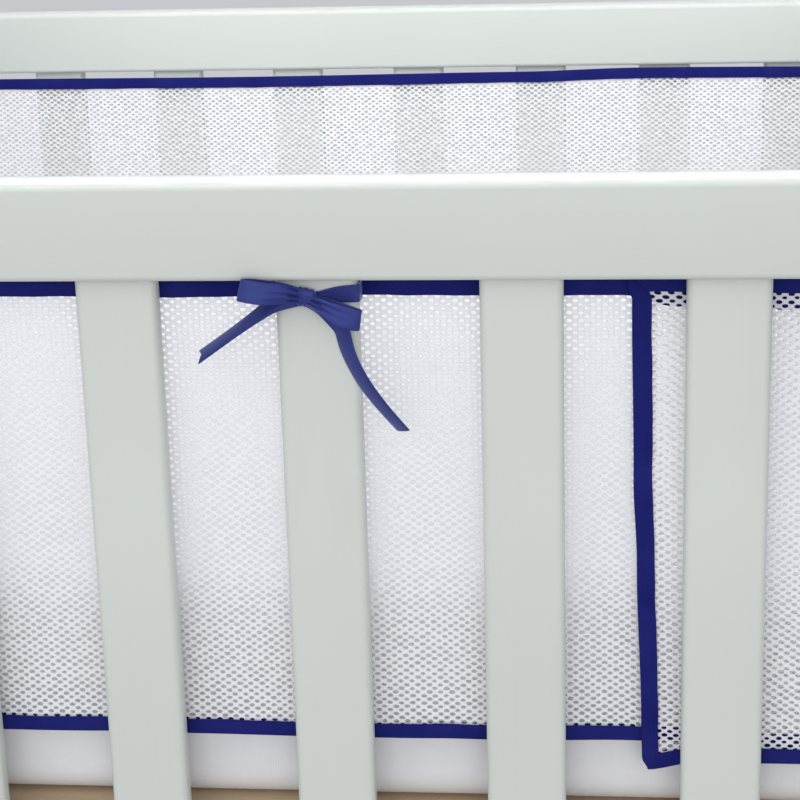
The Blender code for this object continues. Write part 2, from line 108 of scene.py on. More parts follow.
@dataclass
class Surface:
    """A surface of four-cornered faces, with a place on the cloth in metres for each corner.

    Attributes:
        points: Places in space, n by 3.
        faces: Point numbers, m by 4.
        places: Places on the cloth, m by 4 by 2.
        caps: Flat faces with many corners that close an end.
    """

    points: Array
    faces: Array
    places: Array
    caps: list[Array] = field(default_factory=list)

    def facing_out(self) -> "Surface":
        """Turns a closed surface's faces outward, by the sign of the volume that they enclose.

        Returns:
            The same surface, with its faces reversed if the volume was negative.
        """
        a, b, c, d = (self.points[self.faces[:, i]] for i in range(4))
        volume = np.sum(np.cross(a, b) * c) + np.sum(np.cross(a, c) * d)
        for cap in self.caps:
            corners = self.points[cap]
            first = np.broadcast_to(corners[0], corners[1:-1].shape)
            volume += np.sum(np.cross(first, corners[1:-1]) * corners[2:])
        if volume < 0:
            self.faces = self.faces[:, ::-1]
            self.places = self.places[:, ::-1]
            self.caps = [cap[::-1] for cap in self.caps]
        return self


def grid(points: Array, places: Array, ring: bool = False, loop: bool = False) -> Surface:
    """A surface over a grid of points: each face joins four neighbours.

    Args:
        points: Places in space, rows by columns by 3.
        places: Places on the cloth, by 2; one row or column more where the grid closes on itself.
        ring: Whether the last column joins the first.
        loop: Whether the last row joins the first.

    Returns:
        The surface.
    """
    rows, columns = points.shape[:2]
    row, column = np.meshgrid(
        np.arange(rows if loop else rows - 1), np.arange(columns if ring else columns - 1), indexing="ij"
    )
    row, column = row.ravel(), column.ravel()
    corners = ((row, column), (row, column + 1), (row + 1, column + 1), (row + 1, column))
    faces = np.stack([(r % rows) * columns + c % columns for r, c in corners], axis=1)
    marks = np.stack([places[r, c] for r, c in corners], axis=1)
    return Surface(points.reshape(-1, 3), faces, marks)


def joined(surfaces: list[Surface]) -> Surface:
    """Several surfaces as one."""
    starts = np.cumsum([0] + [len(s.points) for s in surfaces[:-1]])
    return Surface(
        np.concatenate([s.points for s in surfaces]),
        np.concatenate([s.faces + start for s, start in zip(surfaces, starts)]),
        np.concatenate([s.places for s in surfaces]),
        [cap + start for s, start in zip(surfaces, starts) for cap in s.caps],
    )


def add_piece(
    name: str,
    surface: Surface,
    material: Material,
    stands_for: tuple[str, ...] = (),
    sharp_deg: float = 50.0,
) -> Piece:
    """Puts a surface into the scene as a piece that rides on the crib.

    Args:
        name: The piece's name.
        surface: Its shape.
        material: Its finish.
        stands_for: The solids that it replaces.
        sharp_deg: Edges that turn more than this stay sharp.

    Returns:
        The piece.
    """
    mesh = bpy.data.meshes.new(name)
    sizes = np.array([4] * len(surface.faces) + [len(cap) for cap in surface.caps])
    corners = np.concatenate([surface.faces.ravel(), *surface.caps])
    mesh.vertices.add(len(surface.points))
    mesh.vertices.foreach_set("co", surface.points.astype(np.float32).ravel())
    mesh.loops.add(len(corners))
    mesh.loops.foreach_set("vertex_index", corners.astype(np.int32))
    mesh.polygons.add(len(sizes))
    mesh.polygons.foreach_set("loop_start", (np.cumsum(sizes) - sizes).astype(np.int32))
    mesh.update(calc_edges=True)
    marks = np.zeros((len(corners), 2), np.float32)
    marks[: surface.faces.size] = surface.places.reshape(-1, 2)
    mesh.uv_layers.new(name="cloth").uv.foreach_set("vector", marks.ravel())
    mesh.polygons.foreach_set("use_smooth", np.ones(len(sizes), bool))
    mesh.set_sharp_from_angle(angle=math.radians(sharp_deg))
    mesh.materials.append(material)
    piece = bpy.data.objects.new(name, mesh)
    bpy.context.scene.collection.objects.link(piece)
    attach(piece, BODY)
    if stands_for:
        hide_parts(*stands_for)
    LOG.info("%s: %d faces", name, len(sizes))
    return piece


def eased(table: Table, column: int, places: Array) -> Array:
    """A table's column at some places, changing smoothly from row to row.

    Between two rows at a share t of the way, the value goes from one to the other by 3t^2 - 2t^3.

    Args:
        table: Rows that start with their place.
        column: The column to read.
        places: Where to read it.

    Returns:
        The values.
    """
    rows = np.array(table)
    index = np.clip(np.searchsorted(rows[:, 0], places, side="right") - 1, 0, len(rows) - 2)
    share = (places - rows[index, 0]) / (rows[index + 1, 0] - rows[index, 0])
    share = np.clip(share, 0, 1) ** 2 * (3 - 2 * np.clip(share, 0, 1))
    return rows[index, column] * (1 - share) + rows[index + 1, column] * share


def smooth_line(rows: Table, steps: int) -> Array:
    """Rows along a smooth curve (Catmull-Rom) through the given ones, some steps to each."""
    rows = np.array(rows, dtype=float)
    padded = np.vstack([2 * rows[0] - rows[1], rows, 2 * rows[-1] - rows[-2]])
    a, b, c, d = (padded[i : len(rows) - 1 + i, None] for i in range(4))
    t = (np.arange(steps) / steps)[None, :, None]
    line = 2 * b + (c - a) * t + (2 * a - 5 * b + 4 * c - d) * t**2 + (3 * b - a - 3 * c + d) * t**3
    return np.vstack([0.5 * line.reshape(-1, rows.shape[1]), rows[-1:]])


def ramp(values: Array, start: float, end: float) -> Array:
    """0 before start and 1 after end, with a smooth rise between (3t^2 - 2t^3)."""
    share = np.clip((values - start) / (end - start), 0, 1)
    return share * share * (3 - 2 * share)


def wander(along: Array, waves: tuple[float, ...], shift: float) -> Array:
    """An uneven line between about -1 and 1: the mean of sines of several wavelengths in metres."""
    return sum(np.sin(2 * math.pi * along / w + shift * (i + 1)) for i, w in enumerate(waves)) / len(waves)


def along_line(places: Array, run: Array, line: Array) -> Array:
    """Points at some distances along a line of points, whose own distances are the run."""
    return np.stack([np.interp(places, run, line[:, i]) for i in range(line.shape[1])], axis=-1)


def unit(vectors: Array) -> Array:
    """Vectors at length 1."""
    return vectors / np.maximum(np.linalg.norm(vectors, axis=-1, keepdims=True), 1e-12)


class Shading:
    """The nodes of one new material, with short calls for the kinds that the finishes use."""

    def __init__(self, name: str) -> None:
        """Starts a material that has only its shader."""
        self.material = bpy.data.materials.new(name)
        self.material.use_nodes = True
        self.tree = self.material.node_tree
        self.shader = self.tree.nodes["Principled BSDF"]

    def node(
        self, kind: str, feeds: dict[int | str, object] | None = None, **settings: object
    ) -> bpy.types.Node:
        """Adds a node.

        Args:
            kind: Its type without the ShaderNode prefix.
            feeds: Values or sockets for its inputs, by number or name.
            **settings: Its own properties.

        Returns:
            The node.
        """
        node = self.tree.nodes.new("ShaderNode" + kind)
        for key, value in settings.items():
            setattr(node, key, value)
        for key, value in (feeds or {}).items():
            self.feed(node.inputs[key], value)
        return node

    def feed(self, socket: Socket, value: object) -> None:
        """Links a socket to an input, or sets the input's own value."""
        if isinstance(value, Socket):
            self.tree.links.new(value, socket)
        else:
            socket.default_value = value

    def calc(self, operation: str, first: Feed, second: Feed = 0.0) -> Socket:
        """One step of arithmetic on two values."""
        return self.node("Math", {0: first, 1: second}, operation=operation).outputs[0]

    def scaled(self, vector: Socket, scale: Triple) -> Socket:
        """A vector with each axis multiplied by its own number."""
        return self.node("VectorMath", {0: vector, 1: scale}, operation="MULTIPLY").outputs[0]

    def noise(self, vector: Socket, scale: float, detail: float = 2.0) -> Socket:
        """Soft noise from 0 to 1, about 0.5."""
        return self.node("TexNoise", {"Vector": vector, "Scale": scale, "Detail": detail}).outputs[0]

    def spread(self, value: Feed, low: float, high: float, to_low: float, to_high: float) -> Socket:
        """Values from low to high spread over to_low to to_high, and held there beyond."""
        return self.node("MapRange", {0: value, 1: low, 2: high, 3: to_low, 4: to_high}).outputs[0]

    def blended(self, share: Feed, first: object, second: object) -> Socket:
        """A colour between two colours or sockets."""
        node = self.node("Mix", {0: share}, data_type="RGBA")
        self.feed(node.inputs[6], (*first, 1.0) if isinstance(first, tuple) else first)
        self.feed(node.inputs[7], (*second, 1.0) if isinstance(second, tuple) else second)
        return node.outputs[2]

    def relief(self, height: Socket, metres: float) -> None:
        """Turns a height from 0 to 1 into bump of that depth in metres."""
        bump = self.node("Bump", {"Height": height, "Distance": metres, "Strength": 1.0})
        self.feed(self.shader.inputs["Normal"], bump.outputs[0])

    def object_place(self) -> Socket:
        """The place on the object in metres."""
        return self.node("TexCoord").outputs["Object"]

    def cloth_place(self) -> tuple[Socket, Socket, Socket]:
        """The place on the cloth in metres, whole and as its two parts."""
        whole = self.node("UVMap", uv_map="cloth").outputs[0]
        parts = self.node("SeparateXYZ", {0: whole})
        return whole, parts.outputs[0], parts.outputs[1]


@dataclass(frozen=True)
class PaintFinish:
    """Satin paint on timber, with faint brush marks along the piece and soft mottling."""

    colour: Triple = (0.556, 0.586, 0.548)
    worn: Triple = (0.524, 0.552, 0.511)
    roughness: Pair = (0.36, 0.50)
    across: float = 420.0
    lengthwise: float = 9.0
    mottle: float = 7.0
    depth: float = 0.00006

    def build(self, along: Along) -> Material:
        """Makes the paint for timbers that run along one axis.

        Args:
            along: The axis that the brush marks follow.

        Returns:
            The material.
        """
        look = Shading(f"painted_timber_{along.name.lower()}")
        place = look.object_place()
        scale = [self.across] * 3
        scale[along.value] = self.lengthwise
        brush = look.noise(look.scaled(place, tuple(scale)), 1.0, 3.0)
        cloud = look.noise(place, self.mottle, 3.0)
        patch = look.spread(cloud, 0.35, 0.75, 0.0, 0.7)
        mark = look.calc("MULTIPLY", patch, look.spread(brush, 0.3, 0.8, 0.5, 1.0))
        look.feed(look.shader.inputs["Base Color"], look.blended(mark, self.colour, self.worn))
        look.feed(look.shader.inputs["Roughness"], look.spread(brush, 0.3, 0.7, *self.roughness))
        look.relief(brush, self.depth)
        return look.material


@dataclass(frozen=True)
class KnitFinish:
    """White knitted mesh with small oval holes in staggered rows, see-through at the holes.

    The row number is the whole part of the height over the row pitch, and every other row is moved
    by half a hole's pitch. In a cell, the reach is the distance from its middle with each axis divided
    by the hole's half size, so that the hole is where the reach is under 1.

    Attributes:
        colour: The yarn's colour on top of a strand, where the painted shade beside a hole has faded out.
        shade: Its colour beside a hole: a painted shade, darker where the strand dips down into the hole.
        pitch: Distance from hole to hole along a row.
        row: Distance from row to row.
        hole: Width and height of a hole.
        uneven: How much larger or smaller a hole may be, as a share of its size.
        drift: How far a hole may be off its place, each way.
        soft: Half the width of a hole's soft edge, in reach.
        cover: How opaque the yarn is.
        depth: Depth of the relief.
        rise: The reach over which a strand rises.
        rib: Pitch of the fine stitches in the yarn.
        rib_height: Their share of the relief.
    """

    colour: Triple = (0.855, 0.855, 0.870)
    # Painted shade on the yarn beside each hole
    shade: Triple = (0.815, 0.815, 0.84)
    pitch: float = 0.0068
    row: float = 0.00242
    hole: Pair = (0.0032, 0.0021)
    uneven: float = 0.16
    drift: float = 0.00022
    soft: float = 0.10
    cover: float = 0.80
    depth: float = 0.00018
    rise: float = 0.55
    rib: float = 0.00062
    rib_height: float = 0.12
    roughness: float = 0.85
    sheen: float = 0.15

    def build(self) -> Material:
        """Makes the knit."""
        look = Shading("knitted_mesh")
        _, across, up = look.cloth_place()
        rows = look.calc("DIVIDE", up, self.row)
        line = look.calc("FLOOR", rows)
        steps = look.calc("ADD", look.calc("DIVIDE", across, self.pitch), look.calc("MULTIPLY", line, 0.5))
        cell = look.node("CombineXYZ", {0: look.calc("FLOOR", steps), 1: line}).outputs[0]
        chance = look.node("TexWhiteNoise", {"Vector": cell}, noise_dimensions="2D")
        tone = look.node("SeparateXYZ", {0: chance.outputs["Color"]}).outputs
        reach = self.reach(look, steps, rows, tone)
        size = look.spread(chance.outputs["Value"], 0.0, 1.0, 1.0 - self.uneven, 1.0 + self.uneven)
        edge = look.calc("SUBTRACT", reach, size)
        look.feed(look.shader.inputs["Alpha"], look.spread(edge, -self.soft, self.soft, 0.0, self.cover))
        loops = look.calc("SINE", look.calc("MULTIPLY", across, 2 * math.pi / self.rib))
        ribs = look.calc("SINE", look.calc("MULTIPLY", up, 4 * math.pi / self.row))
        fine = look.calc("MULTIPLY", look.calc("MULTIPLY", loops, ribs), self.rib_height)
        strand = look.spread(edge, 0.0, self.rise, 0.0, 1.0)
        look.relief(look.calc("ADD", strand, fine), self.depth)
        # Painted shade: the yarn is coloured darker beside each hole, where the strand dips, and lighter on
        # its top
        look.feed(look.shader.inputs["Base Color"], look.blended(strand, self.shade, self.colour))
        look.shader.inputs["Roughness"].default_value = self.roughness
        look.shader.inputs["Sheen Weight"].default_value = self.sheen
        return look.material

    def reach(self, look: Shading, steps: Feed, rows: Feed, tone: object) -> Socket:
        """How far a place is from its hole's middle, where 1 is the hole's edge.

        Args:
            look: The material's nodes.
            steps: Place across, in hole pitches.
            rows: Place up, in row pitches.
            tone: Three chance values for the cell.

        Returns:
            The reach.
        """
        parts = []
        for place, pitch, width, chance in (
            (steps, self.pitch, self.hole[0], tone[0]),
            (rows, self.row, self.hole[1], tone[1]),
        ):
            drift = look.spread(chance, 0.0, 1.0, -self.drift / pitch, self.drift / pitch)
            middle = look.calc("SUBTRACT", look.calc("FRACT", place), look.calc("ADD", drift, 0.5))
            part = look.calc("MULTIPLY", middle, 2 * pitch / width)
            parts.append(look.calc("MULTIPLY", part, part))
        return look.calc("SQRT", look.calc("ADD", parts[0], parts[1]))


@dataclass(frozen=True)
class WovenFinish:
    """Dyed woven cloth: a slanting twill in the bump, soft fading in the colour and a sheen.

    Attributes:
        faded: The colour where the cloth has faded.
        sheen_tint: Colour of the sheen and of the gloss.
        twill: Pitch of the twill's ribs, and of the yarns that cross them.
        slant: How far the twill shifts along for each step up.
        depth: Depth of the relief.
        rib_height: The twill ribs' share of the relief.
        yarn_height: The cross yarns' share of it.
        slub_height: The uneven yarn's share of it.
        middle_height: The height that the ribs and yarns go up and down from.
        slub_scale: Fineness of the uneven yarn.
        cloud_scale: Fineness of the fading.
    """

    name: str
    colour: Triple
    faded: Triple
    roughness: float
    sheen: float
    sheen_tint: Triple
    twill: float
    slant: float
    depth: float
    specular: float = 0.5
    sheen_roughness: float = 0.45
    rib_height: float = 0.32
    yarn_height: float = 0.18
    slub_height: float = 0.4
    middle_height: float = 0.3
    slub_scale: float = 900.0
    cloud_scale: float = 38.0

    def build(self) -> Material:
        """Makes the cloth: its height is the sum of two sines, one along the slanted twill, and noise."""
        look = Shading(self.name)
        whole, across, up = look.cloth_place()
        slanted = look.calc("ADD", across, look.calc("MULTIPLY", up, self.slant))
        ribs = look.calc("SINE", look.calc("MULTIPLY", slanted, 2 * math.pi / self.twill))
        yarns = look.calc("SINE", look.calc("MULTIPLY", up, 2 * math.pi / self.twill))
        ribs = look.calc("MULTIPLY", ribs, self.rib_height)
        height = look.calc("ADD", ribs, look.calc("MULTIPLY", yarns, self.yarn_height))
        slub = look.noise(whole, self.slub_scale, 2.0)
        height = look.calc("ADD", height, self.middle_height)
        look.relief(look.calc("ADD", height, look.calc("MULTIPLY", slub, self.slub_height)), self.depth)
        cloud = look.noise(whole, self.cloud_scale, 3.0)
        patch = look.spread(cloud, 0.3, 0.75, 0.0, 1.0)
        fade = look.calc("MULTIPLY", patch, look.spread(slub, 0.2, 0.8, 0.4, 1.0))
        look.feed(look.shader.inputs["Base Color"], look.blended(fade, self.colour, self.faded))
        rough = look.spread(slub, 0.2, 0.8, self.roughness - 0.05, self.roughness + 0.06)
        look.feed(look.shader.inputs["Roughness"], rough)
        look.shader.inputs["Sheen Weight"].default_value = self.sheen
        look.shader.inputs["Sheen Tint"].default_value = (*self.sheen_tint, 1.0)
        look.shader.inputs["Sheen Roughness"].default_value = self.sheen_roughness
        look.shader.inputs["Specular IOR Level"].default_value = self.specular
        look.shader.inputs["Specular Tint"].default_value = (*self.sheen_tint, 1.0)
        return look.material


@dataclass(frozen=True)
class BoardFinish:
    """Bare birch board: long soft grain and a few darker lines."""

    light: Triple = (0.66, 0.53, 0.37)
    dark: Triple = (0.47, 0.34, 0.21)
    grain_scale: Triple = (2.2, 60.0, 60.0)
    pore_scale: Triple = (40.0, 900.0, 900.0)
    depth: float = 0.0001

    def build(self) -> Material:
        """Makes the board's wood: noise stretched along the crib's length."""
        look = Shading("birch_board")
        place = look.object_place()
        grain = look.noise(look.scaled(place, self.grain_scale), 1.0, 5.0)
        pores = look.noise(look.scaled(place, self.pore_scale), 1.0, 2.0)
        streak = look.spread(grain, 0.35, 0.7, 0.0, 0.8)
        mark = look.calc("ADD", streak, look.spread(pores, 0.6, 0.8, 0.0, 0.2))
        look.feed(look.shader.inputs["Base Color"], look.blended(mark, self.light, self.dark))
        look.feed(look.shader.inputs["Roughness"], look.spread(grain, 0.3, 0.7, 0.55, 0.72))
        look.relief(pores, self.depth)
        return look.material


TAPE_CLOTH = WovenFinish(
    name="navy_tape",
    colour=(0.011, 0.013, 0.118),
    faded=(0.018, 0.021, 0.155),
    roughness=0.85,
    sheen=0.04,
    sheen_tint=(0.2, 0.25, 0.9),
    twill=0.00085,
    slant=1.0,
    depth=0.00010,
    specular=0.12,
)
TAPE_THREAD = WovenFinish(
    name="navy_thread",
    colour=(0.014, 0.018, 0.165),
    faded=(0.022, 0.028, 0.20),
    roughness=0.70,
    sheen=0.1,
    sheen_tint=(0.3, 0.35, 0.9),
    twill=0.0004,
    slant=1.6,
    depth=0.00004,
    specular=0.2,
)
RIBBON_CLOTH = WovenFinish(
    name="navy_ribbon",
    colour=(0.012, 0.015, 0.122),
    faded=(0.019, 0.025, 0.152),
    roughness=0.34,
    sheen=0.42,
    sheen_tint=(0.36, 0.46, 1.0),
    twill=0.0007,
    slant=1.0,
    depth=0.00006,
    specular=0.8,
)
COTTON_CLOTH = WovenFinish(
    name="mattress_cotton",
    colour=(0.72, 0.72, 0.735),
    faded=(0.76, 0.76, 0.77),
    roughness=0.90,
    sheen=0.1,
    sheen_tint=(1.0, 1.0, 1.0),
    twill=0.0011,
    slant=0.0,
    depth=0.00012,
)


def rounded_outline(width: Array, depth: Array, radius: Array, steps: int) -> Array:
    """Outlines of rectangles with round corners: each corner is a quarter circle about its middle.

    Args:
        width: Sizes across, one for each outline.
        depth: Sizes the other way.
        radius: Corner radii.
        steps: Steps in each quarter circle.

    Returns:
        Outlines by points by 2, anticlockwise.
    """
    quarter = np.repeat(np.arange(4), steps + 1)
    angle = np.radians(90 * (quarter + np.tile(np.arange(steps + 1) / steps, 4)))
    side = np.array([1, -1, -1, 1])[quarter]
    up = np.array([1, 1, -1, -1])[quarter]
    x = side * (width / 2 - radius)[:, None] + radius[:, None] * np.cos(angle)
    y = up * (depth / 2 - radius)[:, None] + radius[:, None] * np.sin(angle)
    return np.stack([x, y], axis=2)


@dataclass
class Timber:
    """The crib's painted posts, rails and slats, each a bar with finely rounded edges."""

    slat_ease: float = 0.0045
    rail_ease: float = 0.0040
    post_ease: float = 0.0060
    arc_steps: int = 6
    end_steps: int = 4
    joint_ease: float = 0.0006
    least_corner: float = 0.3
    finish: PaintFinish = field(default_factory=PaintFinish)

    def bar(self, node: str, along: Along, radius: float, end_radius: float) -> Surface:
        """A bar that fills its solid's box.

        The outline is carried along the bar. Near an end, at a distance d inside the end radius r,
        it shrinks all round by r minus the root of r^2 - (r - d)^2, which rounds the end's edges.

        Args:
            node: The solid whose box it fills.
            along: The axis that it runs along.
            radius: Radius of the long edges.
            end_radius: Radius of the edges round each end.

        Returns:
            The bar.
        """
        low, high = (np.array(corner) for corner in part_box(node))
        middle, size = (low + high) / 2, high - low
        across = [axis for axis in range(3) if axis != along.value]
        turn = np.linspace(0, math.pi / 2, self.end_steps + 1)
        inset = end_radius * (1 - np.sin(turn))
        from_end = end_radius * (1 - np.cos(turn))
        half = size[along.value] / 2
        place = np.concatenate([from_end - half, half - from_end[::-1]])
        shrink = np.concatenate([inset, inset[::-1]])
        corner = np.maximum(radius - shrink, radius * self.least_corner)
        outline = rounded_outline(
            size[across[0]] - 2 * shrink, size[across[1]] - 2 * shrink, corner, self.arc_steps
        )
        points = np.zeros((*outline.shape[:2], 3))
        points[..., along.value] = place[:, None]
        points[..., across[0]] = outline[..., 0]
        points[..., across[1]] = outline[..., 1]
        places = np.zeros((len(place), outline.shape[1] + 1, 2))
        places[..., 0] = place[:, None]
        places[..., 1] = np.linspace(0, 2 * (size[across[0]] + size[across[1]]), outline.shape[1] + 1)
        surface = grid(points + middle, places, ring=True)
        count = outline.shape[1]
        last = len(surface.points)
        surface.caps = [np.arange(count - 1, -1, -1), np.arange(last - count, last)]
        return surface.facing_out()

    def build(self) -> list[Piece]:
        """Builds and dresses every post, rail and slat.

        Returns:
            The pieces.
        """
        paints = {along: self.finish.build(along) for along in Along}
        pieces = []
        for node in sorted(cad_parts):
            kind = node.split("_")[0]
            if kind == "post":
                along, radius, end = Along.Z, self.post_ease, self.post_ease
            elif kind == "slat":
                along, radius, end = Along.Z, self.slat_ease, self.joint_ease
            elif "rail" in node:
                along = Along.X if node.endswith(("front", "back")) else Along.Y
                radius, end = self.rail_ease, self.joint_ease
            else:
                continue
            surface = self.bar(node, along, radius, end)
            pieces.append(add_piece(f"painted_{node}", surface, paints[along], (node,)))
        return pieces


@dataclass
class Mattress:
    """A plain cotton mattress with soft rounded edges and faintly uneven faces.

    Attributes:
        edge: Radius of the edges.
        slack: Scale of the faces' unevenness.
        waves_along: Wavelengths of that, mostly along the mattress.
        waves_across: Wavelengths of that, mostly across it.
    """

    edge: float = 0.026
    arc_steps: int = 9
    flat_steps: tuple[int, int] = (64, 36)
    slack: float = 0.0012
    waves_along: tuple[float, ...] = (0.46, 0.31, 0.19)
    waves_across: tuple[float, ...] = (0.38, 0.23)

    def ease(self, half: float, steps: int) -> tuple[Array, Array]:
        """Places from side to side, and how far the top has dropped there.

        Args:
            half: Half the mattress's size that way.
            steps: Steps over the flat stretch.

        Returns:
            Places from -half to half, and drops from 0 to the edge radius.
        """
        turn = np.linspace(0, math.pi / 2, self.arc_steps + 1)[1:]
        flat = np.linspace(0, half - self.edge, steps)
        place = np.concatenate([flat, half - self.edge + self.edge * np.sin(turn)])
        drop = np.concatenate([flat * 0, self.edge * (1 - np.cos(turn))])
        return np.concatenate([-place[:0:-1], place]), np.concatenate([drop[:0:-1], drop])

    def build(self) -> Piece:
        """Builds the mattress from a top and a bottom surface that share their rim.

        With drops a and b along the two directions and an edge radius r, the whole drop is
        r (1 - (1 - a/r)(1 - b/r)). In plan each corner square, with u and v from 0 to 1, is turned into
        a quarter disc: (u, v) goes to (u root(1 - v^2/2), v root(1 - u^2/2)).

        Returns:
            The piece.
        """
        low, high = (np.array(corner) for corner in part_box("mattress"))
        middle, half = (low + high) / 2, (high - low) / 2
        across, drop_x = self.ease(half[0], self.flat_steps[0])
        back, drop_y = self.ease(half[1], self.flat_steps[1])
        x, y = np.meshgrid(across, back, indexing="ij")
        fall = self.edge * (1 - np.outer(1 - drop_x / self.edge, 1 - drop_y / self.edge))
        plan = ((x, half[0]), (y, half[1]))
        over = [np.clip((np.abs(p) - h + self.edge) / self.edge, 0, 1) for p, h in plan]
        round_x = over[0] * np.sqrt(1 - over[1] ** 2 / 2)
        round_y = over[1] * np.sqrt(1 - over[0] ** 2 / 2)
        x = np.sign(x) * (np.minimum(np.abs(x), half[0] - self.edge) + self.edge * round_x)
        y = np.sign(y) * (np.minimum(np.abs(y), half[1] - self.edge) + self.edge * round_y)
        wave = wander(x + 0.4 * y, self.waves_along, 1.3) * wander(y - 0.2 * x, self.waves_across, 0.7)
        places = np.stack([x, y], axis=2)
        sheets = []
        for up in (1, -1):
            z = middle[2] + up * (half[2] - fall)
            z = z + up * self.slack * (wave - 0.4) * (1 - np.minimum(fall / self.edge, 1))
            sheets.append(grid(np.stack([x + middle[0], y + middle[1], z], axis=2), places))
        whole = joined(sheets)
        whole.faces[: len(sheets[0].faces)] = whole.faces[: len(sheets[0].faces), ::-1]
        whole.places[: len(sheets[0].faces)] = whole.places[: len(sheets[0].faces), ::-1]
        walls, marks = self.walls(whole.points, x.shape, 2 * (half[2] - self.edge))
        whole.faces = np.concatenate([whole.faces, walls])
        whole.places = np.concatenate([whole.places, marks])
        cotton = COTTON_CLOTH.build()
        piece = add_piece("cotton_mattress", whole.facing_out(), cotton, ("mattress",))
        return piece

    def walls(self, points: Array, shape: tuple[int, int], tall: float) -> tuple[Array, Array]:
        """The upright faces between the rim of the top sheet and the rim of the bottom one.

        Args:
            points: The points of both sheets.
            shape: Rows and columns of one sheet.
            tall: Height of the walls.

        Returns:
            The faces, and their places on the cloth.
        """
        rows, columns = shape
        rim = np.concatenate(
            [
                np.arange(columns),
                np.arange(1, rows) * columns + columns - 1,
                (rows - 1) * columns + np.arange(columns - 2, -1, -1),
                np.arange(rows - 2, 0, -1) * columns,
            ]
        )
        after = np.roll(rim, -1)
        below = rows * columns
        faces = np.stack([rim, after, after + below, rim + below], axis=1)
        step = np.linalg.norm(points[after] - points[rim], axis=1)
        end = np.cumsum(step)
        start = end - step
        low, high = end * 0, end * 0 + tall
        corners = ((start, low), (end, low), (end, high), (start, high))
        return faces, np.stack([np.stack(corner, axis=1) for corner in corners], axis=1)


@dataclass
class Cloth:
    """A hung piece of the liner, on its plan line and with its own uneven edges and folds.

    Attributes:
        plan: Places along the piece seen from above, n by 2.
        inward: The direction to the inside of the crib at each.
        top: Height of the top edge.
        bottom: Height of the bottom edge.
        edges: Rises of the two edges by share of the length.
        belly: Inward belly and lean by share of the length.
        creases: Soft troughs and ridges, given one by one.
        ends: How each upright end's edge is out of line, by share of the height.
        end_reach: How far in from an end that fades out.
    """

    plan: Array
    inward: Array
    top: float
    bottom: float
    edges: Table
    belly: Table
    creases: Table
    ends: Table = ((0.0, 0.0), (1.0, 0.0))
    end_reach: float = 0.060

    def __post_init__(self) -> None:
        """Works out the length along the plan."""
        steps = np.linalg.norm(np.diff(self.plan, axis=0), axis=1)
        self.run = np.concatenate([[0.0], np.cumsum(steps)])
        self.length = float(self.run[-1])

    def height(self, along: Array) -> Array:
        """Height of the cloth at places along it."""
        share = np.clip(along / self.length, 0, 1)
        return self.top - self.bottom + eased(self.edges, 1, share) - eased(self.edges, 2, share)

    def crease(self, along: Array, share: Array) -> Array:
        """Inward offset of the creases: each is a bell across and a flat-topped bell along.

        Args:
            along: Places along the piece.
            share: Places down it, from 0 at the top edge to 1 at the bottom.

        Returns:
            Offsets in metres.
        """
        total = np.zeros(np.broadcast(along, share).shape)
        for place, down, wide, tall, slant, depth in self.creases:
            across = (along - place * self.length - slant * (share - down)) / wide
            total += depth * np.exp(-(across**2)) * np.exp(-(((share - down) / tall) ** 4))
        return total

    def points(self, along: Array, down: Array, side: Array) -> Array:
        """Places in space.

        Args:
            along: Places along the piece in metres.
            down: Distances down from the top edge.
            side: Distances inward from the middle of the cloth.

        Returns:
            Places, by 3.
        """
        along, down, side = np.broadcast_arrays(along, down, side)
        share = np.clip(along / self.length, 0, 1)
        height = self.height(along)
        fall = down / height
        offset = side + eased(self.belly, 1, share) * np.sin(math.pi * np.clip(fall, 0, 1))
        offset = offset + eased(self.belly, 2, share) * fall + self.crease(along, np.clip(fall, 0, 1))
        moved = eased(self.ends, 1, np.clip(fall, 0, 1))
        near = np.clip(1 - np.minimum(along, self.length - along) / self.end_reach, 0, 1)
        place = along + np.where(along < self.length / 2, 1, -1) * moved * near
        beyond = np.minimum(place, 0) + np.maximum(place - self.length, 0)
        normal = unit(along_line(place, self.run, self.inward))
        spot = along_line(place, self.run, self.plan)
        tangent = np.stack([normal[..., 1], -normal[..., 0]], axis=-1)
        spot = spot + tangent * beyond[..., None] * self.forward() + normal * offset[..., None]
        z = self.top + eased(self.edges, 1, share) - down
        return np.concatenate([spot, z[..., None]], axis=-1)

    def forward(self) -> int:
        """1 if the plan runs to the right of its inward normal, otherwise -1."""
        step = self.plan[1] - self.plan[0]
        return 1 if step[0] * self.inward[0, 1] - step[1] * self.inward[0, 0] > 0 else -1


